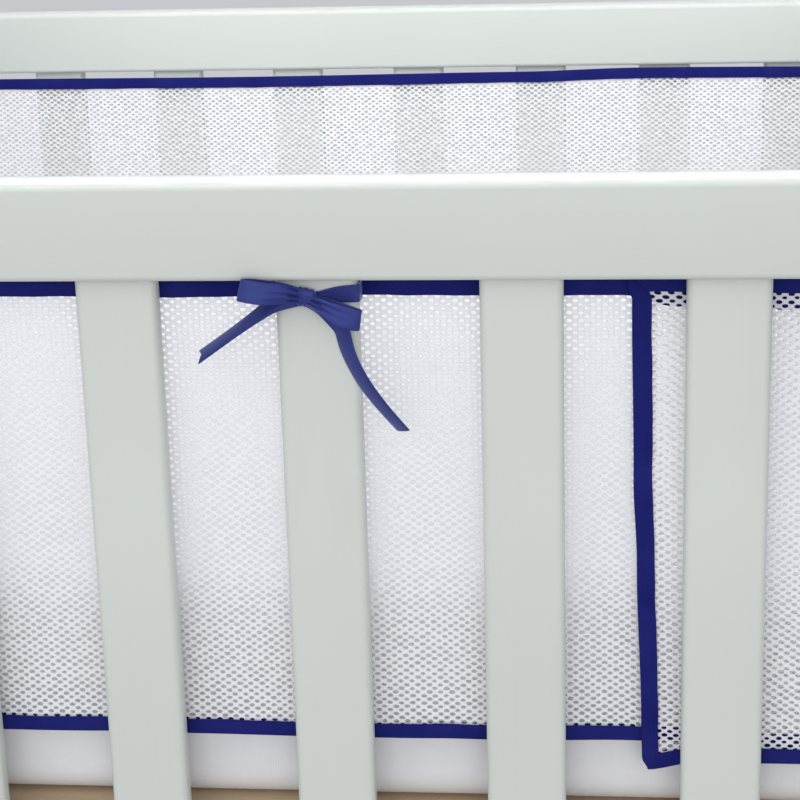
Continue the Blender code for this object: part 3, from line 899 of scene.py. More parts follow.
@dataclass
class Tape:
    """The folded tape round a panel, mitred at the corners, and its line of stitches.

    Attributes:
        width: How far it reaches in from the edge.
        thickness: Its whole thickness over the fold.
        slot: The gap inside the fold that takes the mesh.
        fold: Thickness of the tape at the fold.
        groove: Depth and half width of the groove that the stitches pull.
        soft_edge: Drop and width of the soft inner edge.
        crease: Share of the thickness lost at a mitre, and the mitre's half width.
        stitch_in: Distance of the stitches from the inner edge.
        stitch_shake: How far the line of stitches wanders.
        stitch_sink: How deep the stitches lie under the flat of the tape.
        wave: How far the inner edge wanders.
    """

    width: float = 0.0100
    thickness: float = 0.0038
    slot: float = 0.0022
    fold: float = 0.0010
    groove: Pair = (0.00042, 0.0007)
    soft_edge: Pair = (0.00035, 0.0005)
    crease: Pair = (0.22, 0.0009)
    stitch_in: float = 0.0014
    stitch_shake: float = 0.00018
    stitch_sink: float = 0.00040
    stitch_pitch: float = 0.0027
    stitch_length: float = 0.0019
    stitch_width: float = 0.00042
    stitch_height: float = 0.00022
    step: float = 0.0045
    wave: float = 0.00035
    face_steps: int = 9
    near_corner: tuple[float, ...] = (0.0, 0.0005, 0.0012, 0.0022, 0.0036, 0.0055, 0.0077)

    def profile(self) -> tuple[Array, Array]:
        """The tape cut across: depths in from the edge, and distances to the side.

        Each face is at half the thickness, less a round shoulder at the fold, a groove at the
        stitches and a soft inner edge, and the inside is a slot.

        Returns:
            Depths and side distances of a closed line.
        """
        half = self.thickness / 2
        share = 0.5 - 0.5 * np.cos(np.linspace(0, math.pi, self.face_steps + 6))
        depth = np.concatenate([share * self.width, [self.width * 0.86]])
        depth = np.sort(np.unique(np.round(depth, 6)))
        shoulder = half * np.sqrt(1 - np.clip(1 - depth / half, 0, 1) ** 2)
        off = depth - self.width + self.stitch_in
        groove = self.groove[0] * np.exp(-((off / self.groove[1]) ** 2))
        edge = self.soft_edge[0] * np.clip(1 - (self.width - depth) / self.soft_edge[1], 0, 1) ** 2
        side = shoulder - groove - edge
        inner = np.array([(self.width, -self.slot / 2), (self.fold, -self.slot / 2)])
        inner = np.concatenate([inner, inner[::-1] * (1, -1)])
        depths = np.concatenate([depth[::-1], depth[1:], inner[:, 0]])
        sides = np.concatenate([side[::-1], -side[1:], inner[:, 1]])
        return depths, sides

    def stations(self, length: float) -> Array:
        """Places along one edge, closer together at its mitred corners."""
        near = np.array(self.near_corner)
        count = max(2, round((length - 2 * self.width) / self.step))
        return np.concatenate(
            [near, np.linspace(self.width, length - self.width, count + 1), length - near[::-1]]
        )

    def route(self, cloth: Cloth) -> list[tuple[Array, int]]:
        """The stations along the four edges in turn: top, far end, bottom, near end."""
        tall = [float(cloth.height(np.array([s]))[0]) for s in (0.0, cloth.length)]
        wide = self.stations(cloth.length)
        return [(wide, 0), (self.stations(tall[1]), 1), (wide[::-1], 2), (self.stations(tall[0])[::-1], 3)]

    def spots(self, cloth: Cloth, place: Array, edge: int, depth: Array) -> tuple[Array, Array]:
        """Where a station's profile lies on the cloth.

        Within the tape's width of a corner the station t is drawn towards the mitre: a depth a lies
        at t + a (1 - t / width) along the edge.

        Args:
            cloth: The panel.
            place: Stations along the edge.
            edge: Which edge: 0 top, 1 far end, 2 bottom, 3 near end.
            depth: Depths in from the edge.

        Returns:
            Places along the cloth and down it.
        """
        place, depth = np.broadcast_arrays(place, depth)
        if edge in (0, 2):
            length = cloth.length
        else:
            length = float(cloth.height(np.array([cloth.length if edge == 1 else 0.0]))[0])
        before = np.clip(1 - place / self.width, 0, 1)
        after = np.clip(1 - (length - place) / self.width, 0, 1)
        drawn = place + depth * before - depth * after
        if edge in (0, 2):
            along = drawn
            down = depth if edge == 0 else cloth.height(along) - depth
        else:
            along = cloth.length - depth if edge == 1 else depth
            down = drawn
        return along, down

    def build(self, cloth: Cloth) -> tuple[Surface, Surface]:
        """Builds the tape and its stitches on both faces.

        Args:
            cloth: The panel that it binds.

        Returns:
            The tape and the stitches.
        """
        depths, sides = self.profile()
        rings, marks, run = [], [], 0.0
        girth = np.concatenate([[0], np.cumsum(np.hypot(np.diff(depths), np.diff(sides)))])
        girth = np.append(girth, girth[-1] + self.slot)
        for place, edge in self.route(cloth):
            here = place[:-1]
            ripple = 1 + self.wave / self.width * wander(here + run, (0.027, 0.044, 0.071, 0.160), 0.9 + edge)
            inward = depths[None, :] * np.where(depths > self.width / 2, ripple[:, None], 1.0)
            along, down = self.spots(cloth, here[:, None], edge, inward)
            mitre = np.minimum(here, abs(place[0] + place[-1]) - here)
            crease = 1 - self.crease[0] * np.exp(-((mitre / self.crease[1]) ** 2))
            side = np.where(np.abs(sides) > self.slot / 2 + 1e-5, sides * crease[:, None], sides[None, :])
            rings.append(cloth.points(along, down, side))
            spaced = run + np.abs(here - place[0])
            marks.append(np.stack(np.broadcast_arrays(spaced[:, None], girth[None, :]), axis=2))
            run += abs(place[-1] - place[0])
        last = marks[0][:1].copy()
        last[..., 0] = run
        tape = grid(np.concatenate(rings), np.concatenate([*marks, last]), ring=True, loop=True)
        return tape.facing_out(), self.stitches(cloth)

    def stitches(self, cloth: Cloth) -> Surface:
        """The stitches, one after another along each edge on both faces."""
        depth = self.width - self.stitch_in
        found = []
        for place, edge in self.route(cloth):
            start, end = sorted((place[0], place[-1]))
            line = np.arange(start + self.width, end - self.width, self.stitch_pitch)
            shake = wander(line, (0.0081, 0.0137, 0.039), 2.1 + edge)
            deep = depth + self.stitch_shake * shake
            for sign in (1, -1):
                side = sign * (self.thickness / 2 - self.stitch_sink)
                ends = []
                for reach in (-0.5, 0.0, 0.5):
                    at = line + reach * self.stitch_length
                    ends.append(cloth.points(*self.spots(cloth, at, edge, deep), side))
                inner = cloth.points(*self.spots(cloth, line, edge, deep + 0.001), side)
                found.append(stitch_line(ends, inner - ends[1], self.stitch_width, self.stitch_height, sign))
        return joined(found)


def stitch_line(ends: list[Array], aside: Array, width: float, height: float, sign: int = 1) -> Surface:
    """Many stitches at once: each is a low ridge of height (1 - u^2)(1 - v^2), sunk a little.

    Args:
        ends: Places of each stitch's start, middle and end, each n by 3.
        aside: A direction across each stitch, on the cloth.
        width: Width of the thread.
        height: How far it stands up.
        sign: -1 where up is the run cross aside, 1 where it is the other way.

    Returns:
        The stitches.
    """
    u = np.linspace(-1, 1, 5)
    v = np.array([-1.0, 0.0, 1.0])
    start, middle, end = ends
    run = end - start
    across = unit(aside)
    up = unit(np.cross(run, across)) * -sign
    curve = (start + end) / 2 - middle
    bend = curve[:, None] * (1 - u**2)[None, :, None]
    at = (start + end)[:, None] / 2 + run[:, None] * u[None, :, None] / 2 - bend
    narrow = np.sqrt(np.clip(1 - 0.75 * u**4, 0, 1))[None, :, None, None]
    sideways = across[:, None, None] * v[None, None, :, None] * narrow * width / 2
    lift = ((1 - u**2)[:, None] * (1 - v**2)[None, :] - 0.18)[None, :, :, None] * height
    points = at[:, :, None] + sideways + up[:, None, None] * lift
    count = len(start)
    row, column = np.meshgrid(np.arange(4), np.arange(2), indexing="ij")
    base = (row * 3 + column).ravel()
    quad = np.stack([base, base + 1, base + 4, base + 3], axis=1)
    faces = (quad[None] + 15 * np.arange(count)[:, None, None]).reshape(-1, 4)
    sample = points[0].reshape(-1, 3)[quad[0]]
    turned = np.dot(np.cross(sample[1] - sample[0], sample[2] - sample[0]), up[0]) < 0
    length = np.linalg.norm(run[0])
    marks = np.stack(np.broadcast_arrays(u[:, None] * length / 2, v[None, :] * width / 2), axis=2)
    places = np.tile(marks.reshape(-1, 2)[quad], (count, 1, 1))
    if turned:
        faces, places = faces[:, ::-1], places[:, ::-1]
    return Surface(points.reshape(-1, 3), faces, places)


@dataclass
class Liner:
    """The bumper's two mesh panels, each held in its folded tape."""

    corner_radius: float = 0.035
    return_end: float = 0.4135
    long_top: float = 0.8400
    long_bottom: float = 0.5362
    short_half: float = 0.560
    short_top: float = 0.8390
    short_bottom: float = 0.5480
    short_behind: float = 0.0043
    shift_from: float = 0.335
    shift_to: float = 0.400
    tuck: float = 0.0013
    step: float = 0.0065
    tape: Tape = field(default_factory=Tape)
    long_edges: Table = (
        # place along the piece (0 to 1), rise of the top edge, rise of the bottom edge
        (0.000, 0.0012, -0.0052),
        (0.009, 0.0006, -0.0004),
        (0.025, 0.0000, 0.0003),
        (0.075, -0.0010, 0.0006),
        (0.190, -0.0014, -0.0016),
        (0.300, 0.0006, 0.0010),
        (0.365, 0.0018, 0.0022),
        (0.400, -0.0006, 0.0008),
        (0.480, -0.0020, -0.0014),
        (0.570, -0.0010, 0.0004),
        (0.640, -0.0018, -0.0018),
        (0.720, 0.0004, 0.0012),
        (0.830, -0.0016, -0.0010),
        (0.930, -0.0008, 0.0008),
        (0.984, 0.0004, -0.0004),
        (1.000, 0.0010, -0.0036),
    )
    long_belly: Table = (
        # place along the piece (0 to 1), inward belly at half height, inward lean at the bottom
        (0.000, 0.0000, 0.0000),
        (0.085, 0.0000, 0.0000),
        (0.140, 0.0032, 0.0018),
        (0.190, 0.0016, 0.0030),
        (0.240, 0.0036, 0.0012),
        (0.300, 0.0002, 0.0004),
        (0.350, 0.0030, 0.0022),
        (0.400, 0.0012, 0.0010),
        (0.450, 0.0036, 0.0028),
        (0.500, 0.0014, 0.0016),
        (0.555, 0.0034, 0.0024),
        (0.600, 0.0010, 0.0008),
        (0.650, 0.0028, 0.0020),
        (0.700, 0.0002, 0.0006),
        (0.760, 0.0034, 0.0024),
        (0.810, 0.0014, 0.0014),
        (0.860, 0.0030, 0.0020),
        (0.915, 0.0000, 0.0000),
        (1.000, 0.0000, 0.0000),
    )
    short_edges: Table = (
        # place along the piece (0 to 1), rise of the top edge, rise of the bottom edge
        (0.000, -0.0100, -0.0050),
        (0.130, -0.0070, -0.0022),
        (0.230, -0.0006, 0.0010),
        (0.340, 0.0006, 0.0016),
        (0.440, -0.0008, 0.0010),
        (0.545, 0.0002, 0.0012),
        (0.640, -0.0006, 0.0010),
        (0.705, 0.0006, 0.0006),
        (0.790, 0.0000, 0.0004),
        (0.860, -0.0012, 0.0000),
        (0.885, -0.0082, -0.0006),
        (0.938, -0.0096, -0.0040),
        (1.000, -0.0110, -0.0060),
    )
    short_belly: Table = (
        # place along the piece (0 to 1), inward belly at half height, inward lean at the bottom
        (0.000, 0.0000, 0.0000),
        (0.150, 0.0000, 0.0000),
        (0.245, 0.0022, 0.0014),
        (0.320, 0.0004, 0.0004),
        (0.400, 0.0026, 0.0018),
        (0.500, 0.0008, 0.0010),
        (0.595, 0.0028, 0.0016),
        (0.700, 0.0004, 0.0006),
        (0.785, 0.0020, 0.0012),
        (0.850, 0.0000, 0.0000),
        (1.000, 0.0000, 0.0000),
    )
    long_creases: Table = (
        # place along (0 to 1), share down, half width, half height share, slant, inward depth
        (0.160, 0.45, 0.016, 0.60, 0.020, 0.0012),
        (0.228, 0.55, 0.012, 0.50, -0.015, 0.0010),
        (0.318, 0.40, 0.014, 0.60, 0.012, 0.0011),
        (0.388, 0.35, 0.010, 0.45, -0.030, 0.0009),
        (0.432, 0.50, 0.015, 0.60, 0.018, 0.0013),
        (0.498, 0.45, 0.011, 0.50, -0.014, 0.0009),
        (0.540, 0.55, 0.016, 0.60, 0.020, 0.0012),
        (0.588, 0.35, 0.010, 0.45, 0.032, 0.0010),
        (0.626, 0.50, 0.014, 0.55, -0.016, 0.0010),
        (0.742, 0.45, 0.015, 0.60, 0.014, 0.0012),
        (0.792, 0.55, 0.012, 0.50, -0.022, 0.0010),
        (0.846, 0.45, 0.015, 0.60, 0.016, 0.0012),
    )
    short_creases: Table = (
        # place along (0 to 1), share down, half width, half height share, slant, inward depth
        (0.215, 0.40, 0.012, 0.50, 0.020, 0.0007),
        (0.275, 0.30, 0.010, 0.35, -0.036, 0.0008),
        (0.330, 0.30, 0.010, 0.35, 0.034, 0.0008),
        (0.420, 0.55, 0.017, 0.60, -0.012, 0.0010),
        (0.515, 0.50, 0.014, 0.60, 0.014, 0.0009),
        (0.585, 0.55, 0.015, 0.55, -0.010, 0.0009),
        (0.668, 0.30, 0.010, 0.38, 0.034, 0.0008),
        (0.732, 0.28, 0.009, 0.34, -0.036, 0.0008),
        (0.762, 0.60, 0.014, 0.50, 0.012, 0.0007),
    )
    long_ends: Table = (
        # share down, how far the end's edge is drawn in along the piece
        (0.000, -0.0092),
        (0.028, -0.0092),
        (0.040, -0.0068),
        (0.400, -0.0054),
        (0.565, -0.0032),
        (0.905, 0.0000),
        (0.975, 0.0006),
        (1.000, 0.0040),
    )

    def long_plan(self) -> tuple[Array, Array]:
        """The long panel's line: right return, right end, back, left end, left return.

        Straights are joined by quarter circles of the corner radius about each corner's middle.

        Returns:
            Places and inward directions.
        """
        far_x = INSIDE_LENGTH / 2 + SLAT_INSET - CLOTH_GAP
        far_y = INSIDE_WIDTH / 2 + SLAT_INSET - CLOTH_GAP
        near_x, near_y = far_x - self.corner_radius, far_y - self.corner_radius
        plan = [np.array([[self.return_end, -far_y]])]
        inward = [np.array([[0.0, 1.0]])]
        corners = (
            (near_x, -near_y, -90),
            (near_x, near_y, 0),
            (-near_x, near_y, 90),
            (-near_x, -near_y, 180),
        )
        for x, y, turn in corners:
            angle = np.radians(turn + np.linspace(0, 90, 19))
            out = np.stack([np.cos(angle), np.sin(angle)], axis=1)
            plan.append(np.array([x, y]) + self.corner_radius * out)
            inward.append(-out)
        plan.append(np.array([[-self.return_end, -far_y]]))
        inward.append(np.array([[0.0, 1.0]]))
        return np.concatenate(plan), np.concatenate(inward)

    def short_plan(self) -> tuple[Array, Array]:
        """The short panel's line: straight, and set back behind the long panel's returns."""
        x = np.linspace(-self.short_half, self.short_half, 141)
        y = self.short_behind * ramp(np.abs(x), self.shift_from, self.shift_to)
        plan = np.stack([x, y - (INSIDE_WIDTH / 2 + SLAT_INSET - CLOTH_GAP)], axis=1)
        return plan, np.tile((0.0, 1.0), (len(x), 1))

    def panel(self, cloth: Cloth) -> Surface:
        """A thin sheet of mesh whose edges end inside the fold of the tape."""
        columns = round(cloth.length / self.step)
        along = np.linspace(self.tuck, cloth.length - self.tuck, columns + 1)[None, :]
        height = cloth.height(along)
        rows = round(float(height.mean()) / self.step)
        share = np.linspace(0, 1, rows + 1)[:, None]
        down = self.tuck + (height - 2 * self.tuck) * share
        places = np.stack(np.broadcast_arrays(along, -down), axis=2)
        return grid(cloth.points(along, down, np.zeros((1, 1))), places)

    def cloths(self) -> dict[str, Cloth]:
        """The two panels' hung forms, by name."""
        return {
            "long": Cloth(
                *self.long_plan(),
                self.long_top,
                self.long_bottom,
                self.long_edges,
                self.long_belly,
                self.long_creases,
                self.long_ends,
            ),
            "short": Cloth(
                *self.short_plan(),
                self.short_top,
                self.short_bottom,
                self.short_edges,
                self.short_belly,
                self.short_creases,
            ),
        }

    def build(self, ties: dict[str, list[Piece]], posts: dict[str, list[str]]) -> None:
        """Args:
            ties: The ribbon pieces that hold each panel. Not used.
            posts: The slats that each panel is tied to. Not used.
        """
        knit = KnitFinish().build()
        woven = TAPE_CLOTH.build()
        thread = TAPE_THREAD.build()
        for label, cloth in self.cloths().items():
            binding, sewing = self.tape.build(cloth)
            panel = add_piece(
                f"{label}_panel_knit", self.panel(cloth), knit, (f"{label}_mesh_panel",), 180.0
            )
            tape = add_piece(
                f"{label}_panel_binding", binding, woven, (f"{label}_panel_tape",), 75.0
            )
            stitches = add_piece(f"{label}_panel_stitches", sewing, thread, (), 180.0)
            round(self.flat_height(cloth), 3)

    def flat_height(self, cloth: Cloth) -> float:
        """The panel's mean height, as it is cut."""
        return float(cloth.height(np.linspace(0, cloth.length, 200)).mean())


@dataclass
class Bow:
    """One ribbon bow on a slat: a band round the slat, a knot, two loops and two cut tails.

    Tables are millimetres from the middle of the slat's outer face, seen from outside: right, up,
    outward, turn of the ribbon about its own run in degrees, width, cupping and gathers. The other
    lengths are millimetres too.

    Attributes:
        thickness: Thickness of the ribbon.
        steps: Steps from one row of a table to the next.
        across_steps: Points across the ribbon.
        edge_thin: Share of the thickness lost at the ribbon's edges.
        band_gap: From the slat to the middle of the band round it.
        band_pinch: How much narrower the band is at the knot, and over what half width.
        band_gather: Height of the band's gathers at the knot, and their half width.
        band_thin: The band's share of the ribbon's thickness.
        band_half_mark: Half the band's width as its weave is laid.
        knot_power: Power of the superellipse that is the knot's cross-section.
        knot_side: Size of the knot's sides as a share of its middle.
        knot_pleat: Depth of the knot's gathers as a share of its size.
        left_cut: Slant and notch of the left tail's end.
        right_cut: Slant and notch of the right tail's end.
        stitch_at: Place of the stitches as a share of the half width.
        stitch_share: How far out the stitches' feet are, as a share of the half thickness.
    """

    thickness: float = 0.85
    steps: int = 7
    across_steps: int = 15
    edge_thin: float = 0.55
    band_gap: float = 0.9
    band_corner: float = 2.4
    band_step: float = 1.6
    band_width: float = 10.2
    band_pinch: Pair = (6.4, 13.0)
    band_gather: Pair = (0.3, 12.0)
    band_thin: float = 0.8
    band_half_mark: float = 4.8
    knot_at: Triple = (-5.2, 1.0, 4.1)
    knot_size: Triple = (11.2, 10.6, 7.0)
    knot_turn_deg: float = 9.0
    knot_power: float = 2.6
    knot_side: float = 0.30
    knot_pleat: float = 0.055
    left_loop: Table = (
        (-5.0, 1.0, 3.0, 0, 6.0, 0.0, 0.5),
        (-16.0, 3.8, 3.8, 0, 9.4, 0.3, 0.2),
        (-28.0, 5.6, 6.6, 0, 12.0, 0.3, 0.0),
        (-37.5, 7.2, 9.6, -8, 12.8, 0.0, 0.0),
        (-41.2, 7.8, 11.9, -15, 12.9, 0.0, 0.0),
        (-37.8, 7.3, 14.0, -14, 12.8, 0.0, 0.0),
        (-28.0, 5.7, 14.0, -14, 12.6, 0.5, 0.1),
        (-19.0, 4.7, 11.6, -8, 11.2, 0.9, 0.4),
        (-12.5, 3.6, 8.8, -2, 9.2, 0.8, 0.9),
        (-5.0, 1.2, 5.8, 2, 6.2, 0.3, 0.9),
    )
    right_loop: Table = (
        (-5.2, -0.4, 3.2, 0, 5.4, 0.0, 0.4),
        (3.0, -2.6, 4.4, 0, 8.0, 0.2, 0.2),
        (13.0, -7.0, 5.4, -4, 11.0, 0.2, 0.0),
        (21.5, -10.4, 6.2, -8, 11.9, 0.0, 0.0),
        (25.4, -11.4, 8.0, -8, 12.1, 0.0, 0.0),
        (21.5, -10.6, 10.2, 2, 11.9, 0.0, 0.0),
        (12.0, -6.8, 11.0, 12, 10.8, 0.8, 0.2),
        (3.0, -2.6, 9.4, 14, 8.6, 0.9, 0.7),
        (-5.2, 0.4, 5.8, 6, 5.8, 0.3, 0.8),
    )
    left_tail: Table = (
        (-5.2, -0.6, 2.4, 0.0, 6.4, 0.0, 0.3),
        (-14.0, -1.2, 3.4, 14.0, 8.2, 0.2, 0.1),
        (-24.0, -3.0, 5.0, 34.0, 10.0, 0.4, 0.0),
        (-33.0, -8.9, 5.4, 57.0, 11.0, 0.5, 0.0),
        (-45.0, -17.6, 4.4, 65.0, 11.2, 0.5, 0.0),
        (-57.0, -26.4, 3.4, 66.0, 11.2, 0.5, 0.0),
        (-68.4, -34.7, 2.6, 66.0, 11.2, 0.4, 0.0),
    )
    right_tail: Table = (
        (-5.2, -1.4, 2.4, 0.0, 6.4, 0.0, 0.3),
        (3.5, -6.0, 2.3, 0.0, 8.8, 0.2, 0.1),
        (11.0, -13.0, 2.8, 10.0, 10.8, 0.3, 0.0),
        (14.4, -19.0, 4.0, 30.0, 11.2, 0.4, 0.0),
        (16.9, -29.4, 4.8, 34.0, 11.2, 0.5, 0.0),
        (21.0, -40.0, 5.2, 37.0, 11.2, 0.6, 0.0),
        (27.6, -52.0, 5.2, 38.0, 11.2, 0.5, 0.0),
        (37.0, -65.4, 4.6, 42.0, 11.2, 0.5, 0.0),
        (47.3, -78.1, 3.8, 45.0, 11.2, 0.4, 0.0),
    )
    left_cut: Pair = (0.5, 2.6)
    right_cut: Pair = (1.2, 0.0)
    stitch_at: float = 0.80
    stitch_pitch: float = 2.3
    stitch_length: float = 1.6
    stitch_width: float = 0.34
    stitch_height: float = 0.16
    stitch_share: float = 0.92

    def run(self, rows: Table, kind: Run, cut: Pair = (0.0, 0.0)) -> tuple[Surface, Surface]:
        """A stretch of ribbon and its stitches.

        At each station the ribbon's middle line has a direction across, turned about the run, and a
        normal. A point at w from -1 to 1 across lies at w times half the width, lifted along the
        normal by cup (w^2 - 1/3) + gather cos(3 pi w). A cut end is moved along the run by
        slant w - notch (1 - |w|) in millimetres.

        Args:
            rows: The stretch's table.
            kind: Whether it starts on edge or flat.
            cut: Slant and notch of the cut end.

        Returns:
            The ribbon, closed, and its stitches.
        """
        line = smooth_line(rows, self.steps)
        centre, turn, width, cup, gather = line[:, :3], line[:, 3], line[:, 4], line[:, 5], line[:, 6]
        ahead = unit(np.gradient(centre, axis=0))
        upright = np.tile((0.0, 1.0, 0.0), (len(line), 1))
        base = upright if kind is Run.LOOP else np.cross((0.0, 0.0, 1.0), ahead)
        base = unit(base - ahead * np.sum(base * ahead, axis=1, keepdims=True))
        other = np.cross(ahead, base)
        angle = np.radians(turn)[:, None]
        across = base * np.cos(angle) + other * np.sin(angle)
        normal = np.cross(across, ahead)
        w = np.linspace(-1, 1, self.across_steps)
        lift = cup[:, None] * (w**2 - 1 / 3) + gather[:, None] * np.cos(3 * math.pi * w)
        sheet = centre[:, None] + across[:, None] * (w * width[:, None] / 2)[..., None]
        sheet = sheet + normal[:, None] * lift[..., None]
        last = np.zeros(len(line))
        last[-2:] = (0.5, 1.0)
        slant, notch = cut
        sheet = sheet + ahead[:, None] * ((slant * w - notch * (1 - np.abs(w))) * last[:, None])[..., None]
        thin = self.thickness / 2 * (1 - self.edge_thin * w**8)
        face = sheet + normal[:, None] * thin[None, :, None]
        back = sheet - normal[:, None] * thin[None, :, None]
        ring = np.concatenate([face, back[:, ::-1]], axis=1)
        length = np.concatenate([[0], np.cumsum(np.linalg.norm(np.diff(centre, axis=0), axis=1))])
        side = np.concatenate([w, w[::-1], [-1]])
        places = np.stack(
            np.broadcast_arrays(length[:, None], side[None, :] * width[:, None] / 2), axis=2
        )
        ribbon = grid(ring, places * MM, ring=True)
        ribbon = self.closed_ends(ribbon, len(line))
        return ribbon, self.stitches(sheet, normal, w, length, thin)

    def closed_ends(self, ribbon: Surface, count: int) -> Surface:
        """Closes both ends of a ribbon with faces between its front and its back."""
        m = self.across_steps
        i = np.arange(m - 1)
        ends = []
        for start in (0, (count - 1) * 2 * m):
            quad = np.stack([i, i + 1, 2 * m - 2 - i, 2 * m - 1 - i], axis=1) + start
            ends.append(quad[:, ::-1] if start == 0 else quad)
        faces = np.concatenate([ribbon.faces, *ends])
        extra = np.zeros((2 * (m - 1), 4, 2))
        return Surface(ribbon.points, faces, np.concatenate([ribbon.places, extra])).facing_out()

    def stitches(self, sheet: Array, normal: Array, w: Array, length: Array, thin: Array) -> Surface:
        """A line of stitches near each long edge, on both faces."""
        found = []
        middles = np.arange(self.stitch_pitch, length[-1] - self.stitch_pitch, self.stitch_pitch)
        for edge in (-self.stitch_at, self.stitch_at):
            column = int(np.argmin(np.abs(w - edge)))
            inner = column - int(np.sign(edge))
            for sign in (1, -1):
                lifted = sheet + sign * normal[:, None] * thin[None, :, None] * self.stitch_share
                places = []
                for reach in (-0.5, 0.0, 0.5):
                    at = middles + reach * self.stitch_length
                    places.append(along_line(at, length, lifted[:, column]))
                beside = along_line(middles, length, lifted[:, inner])
                up = sign * along_line(middles, length, normal)
                aside = beside - places[1]
                flip = np.sum(np.cross(places[2] - places[0], aside) * up) < 0
                line = stitch_line(places, aside, self.stitch_width, self.stitch_height, 1 if flip else -1)
                line.places = line.places * MM
                found.append(line)
        return joined(found)

    def band(self) -> Surface:
        """The ribbon round the slat: a rounded outline, gathered behind the knot.

        Its width and its height on the slat follow the place across the front, from narrow at the
        knot to full at the slat's edge.

        Returns:
            The band.
        """
        wide = SLAT_WIDTH / MM + 2 * self.band_gap
        deep = SLAT_THICKNESS / MM + 2 * self.band_gap
        outline = rounded_outline(np.array([wide]), np.array([deep]), np.array([self.band_corner]), 6)[0]
        points = []
        for a, b in zip(outline, np.roll(outline, -1, axis=0)):
            count = max(1, int(np.linalg.norm(b - a) / self.band_step))
            points.append(a + (b - a) * np.linspace(0, 1, count, endpoint=False)[:, None])
        ring = np.concatenate(points)
        x = ring[:, 0]
        front = ramp(ring[:, 1], -deep / 2, deep / 2)
        off = np.abs(x - self.knot_at[0])
        width = self.band_width - self.band_pinch[0] * front * np.exp(-((off / self.band_pinch[1]) ** 2))
        rise = 1.0 + front * (1.2 * ramp(x, -2.0, wide / 2) + 0.6 * ramp(-x, 8.0, wide / 2))
        gather = self.band_gather[0] * front * np.exp(-((off / self.band_gather[1]) ** 2))
        w = np.linspace(-1, 1, self.across_steps)
        after, before = np.roll(ring, -1, axis=0), np.roll(ring, 1, axis=0)
        ahead = unit(after - before)
        out = np.stack([ahead[:, 1], -ahead[:, 0]], axis=1)
        lift = gather[:, None] * (1 + np.cos(3 * math.pi * w)) / 2
        faces = []
        for sign in (1, -1):
            push = (lift + sign * self.thickness / 2 * self.band_thin)[..., None] * out[:, None]
            flat = ring[:, None] + push
            high = rise[:, None] + w * width[:, None] / 2
            faces.append(np.stack([flat[..., 0], high, flat[..., 1] - SLAT_THICKNESS / MM / 2], axis=2))
        loop = np.concatenate([faces[0], faces[1][:, ::-1]], axis=1)
        run = np.concatenate([[0], np.cumsum(np.linalg.norm(after - ring, axis=1))])
        side = np.concatenate([w, w[::-1], [-1]]) * self.band_half_mark
        places = np.stack(np.broadcast_arrays(run[:, None], side[None, :]), axis=2)
        return grid(loop, places * MM, ring=True, loop=True).facing_out()

    def knot(self) -> Surface:
        """The knot: ribbon wrapped over the crossing, gathered at both sides.

        A rounded ring of t from 0 to 2 pi, a superellipse, is carried across from side to side, as s
        goes from -1 to 1. It swells by the root of 1 - |s|^5 towards the middle, has slanting gathers
        of cos(3.2 pi s + 0.9 sin t), and is turned a little.

        Returns:
            The knot.
        """
        s = np.sin(np.linspace(-math.pi / 2, math.pi / 2, 27))
        t = np.linspace(0, 2 * math.pi, 49)[:-1]
        size = self.knot_side + (1 - self.knot_side) * np.sqrt(np.clip(1 - np.abs(s) ** 5, 0, 1))
        power = 2 / self.knot_power
        up = np.sign(np.sin(t)) * np.abs(np.sin(t)) ** power
        out = np.sign(np.cos(t)) * np.abs(np.cos(t)) ** power
        wide, tall, deep = (value / 2 for value in self.knot_size)
        pleat = 1 + self.knot_pleat * np.cos(3.2 * math.pi * s[:, None] + 0.9 * np.sin(t)[None, :])
        swell = size[:, None] * pleat
        x = s[:, None] * wide * (1 + 0.06 * up[None, :])
        y = up[None, :] * tall * swell * (1 - 0.10 * s[:, None])
        z = out[None, :] * deep * swell
        turn = math.radians(self.knot_turn_deg)
        x, y = x * math.cos(turn) + y * math.sin(turn), y * math.cos(turn) - x * math.sin(turn)
        points = np.stack(np.broadcast_arrays(x, y, z), axis=2) + np.array(self.knot_at)
        girth = np.append(t, 2 * math.pi) * (tall + deep) / 2
        places = np.stack(np.broadcast_arrays(girth[None, :], (s * wide)[:, None]), axis=2)
        knot = grid(points, places * MM, ring=True)
        count = len(t)
        last = len(knot.points)
        knot.caps = [np.arange(count - 1, -1, -1), np.arange(last - count, last)]
        return knot.facing_out()

    def build(self) -> tuple[Surface, Surface]:
        """Builds the bow and its stitches in millimetres on a slat's outer face."""
        runs = [
            self.run(self.left_loop, Run.LOOP),
            self.run(self.right_loop, Run.LOOP),
            self.run(self.left_tail, Run.TAIL, self.left_cut),
            self.run(self.right_tail, Run.TAIL, self.right_cut),
        ]
        ribbon = joined([self.knot(), self.band(), *(run[0] for run in runs)])
        return ribbon, joined([run[1] for run in runs])


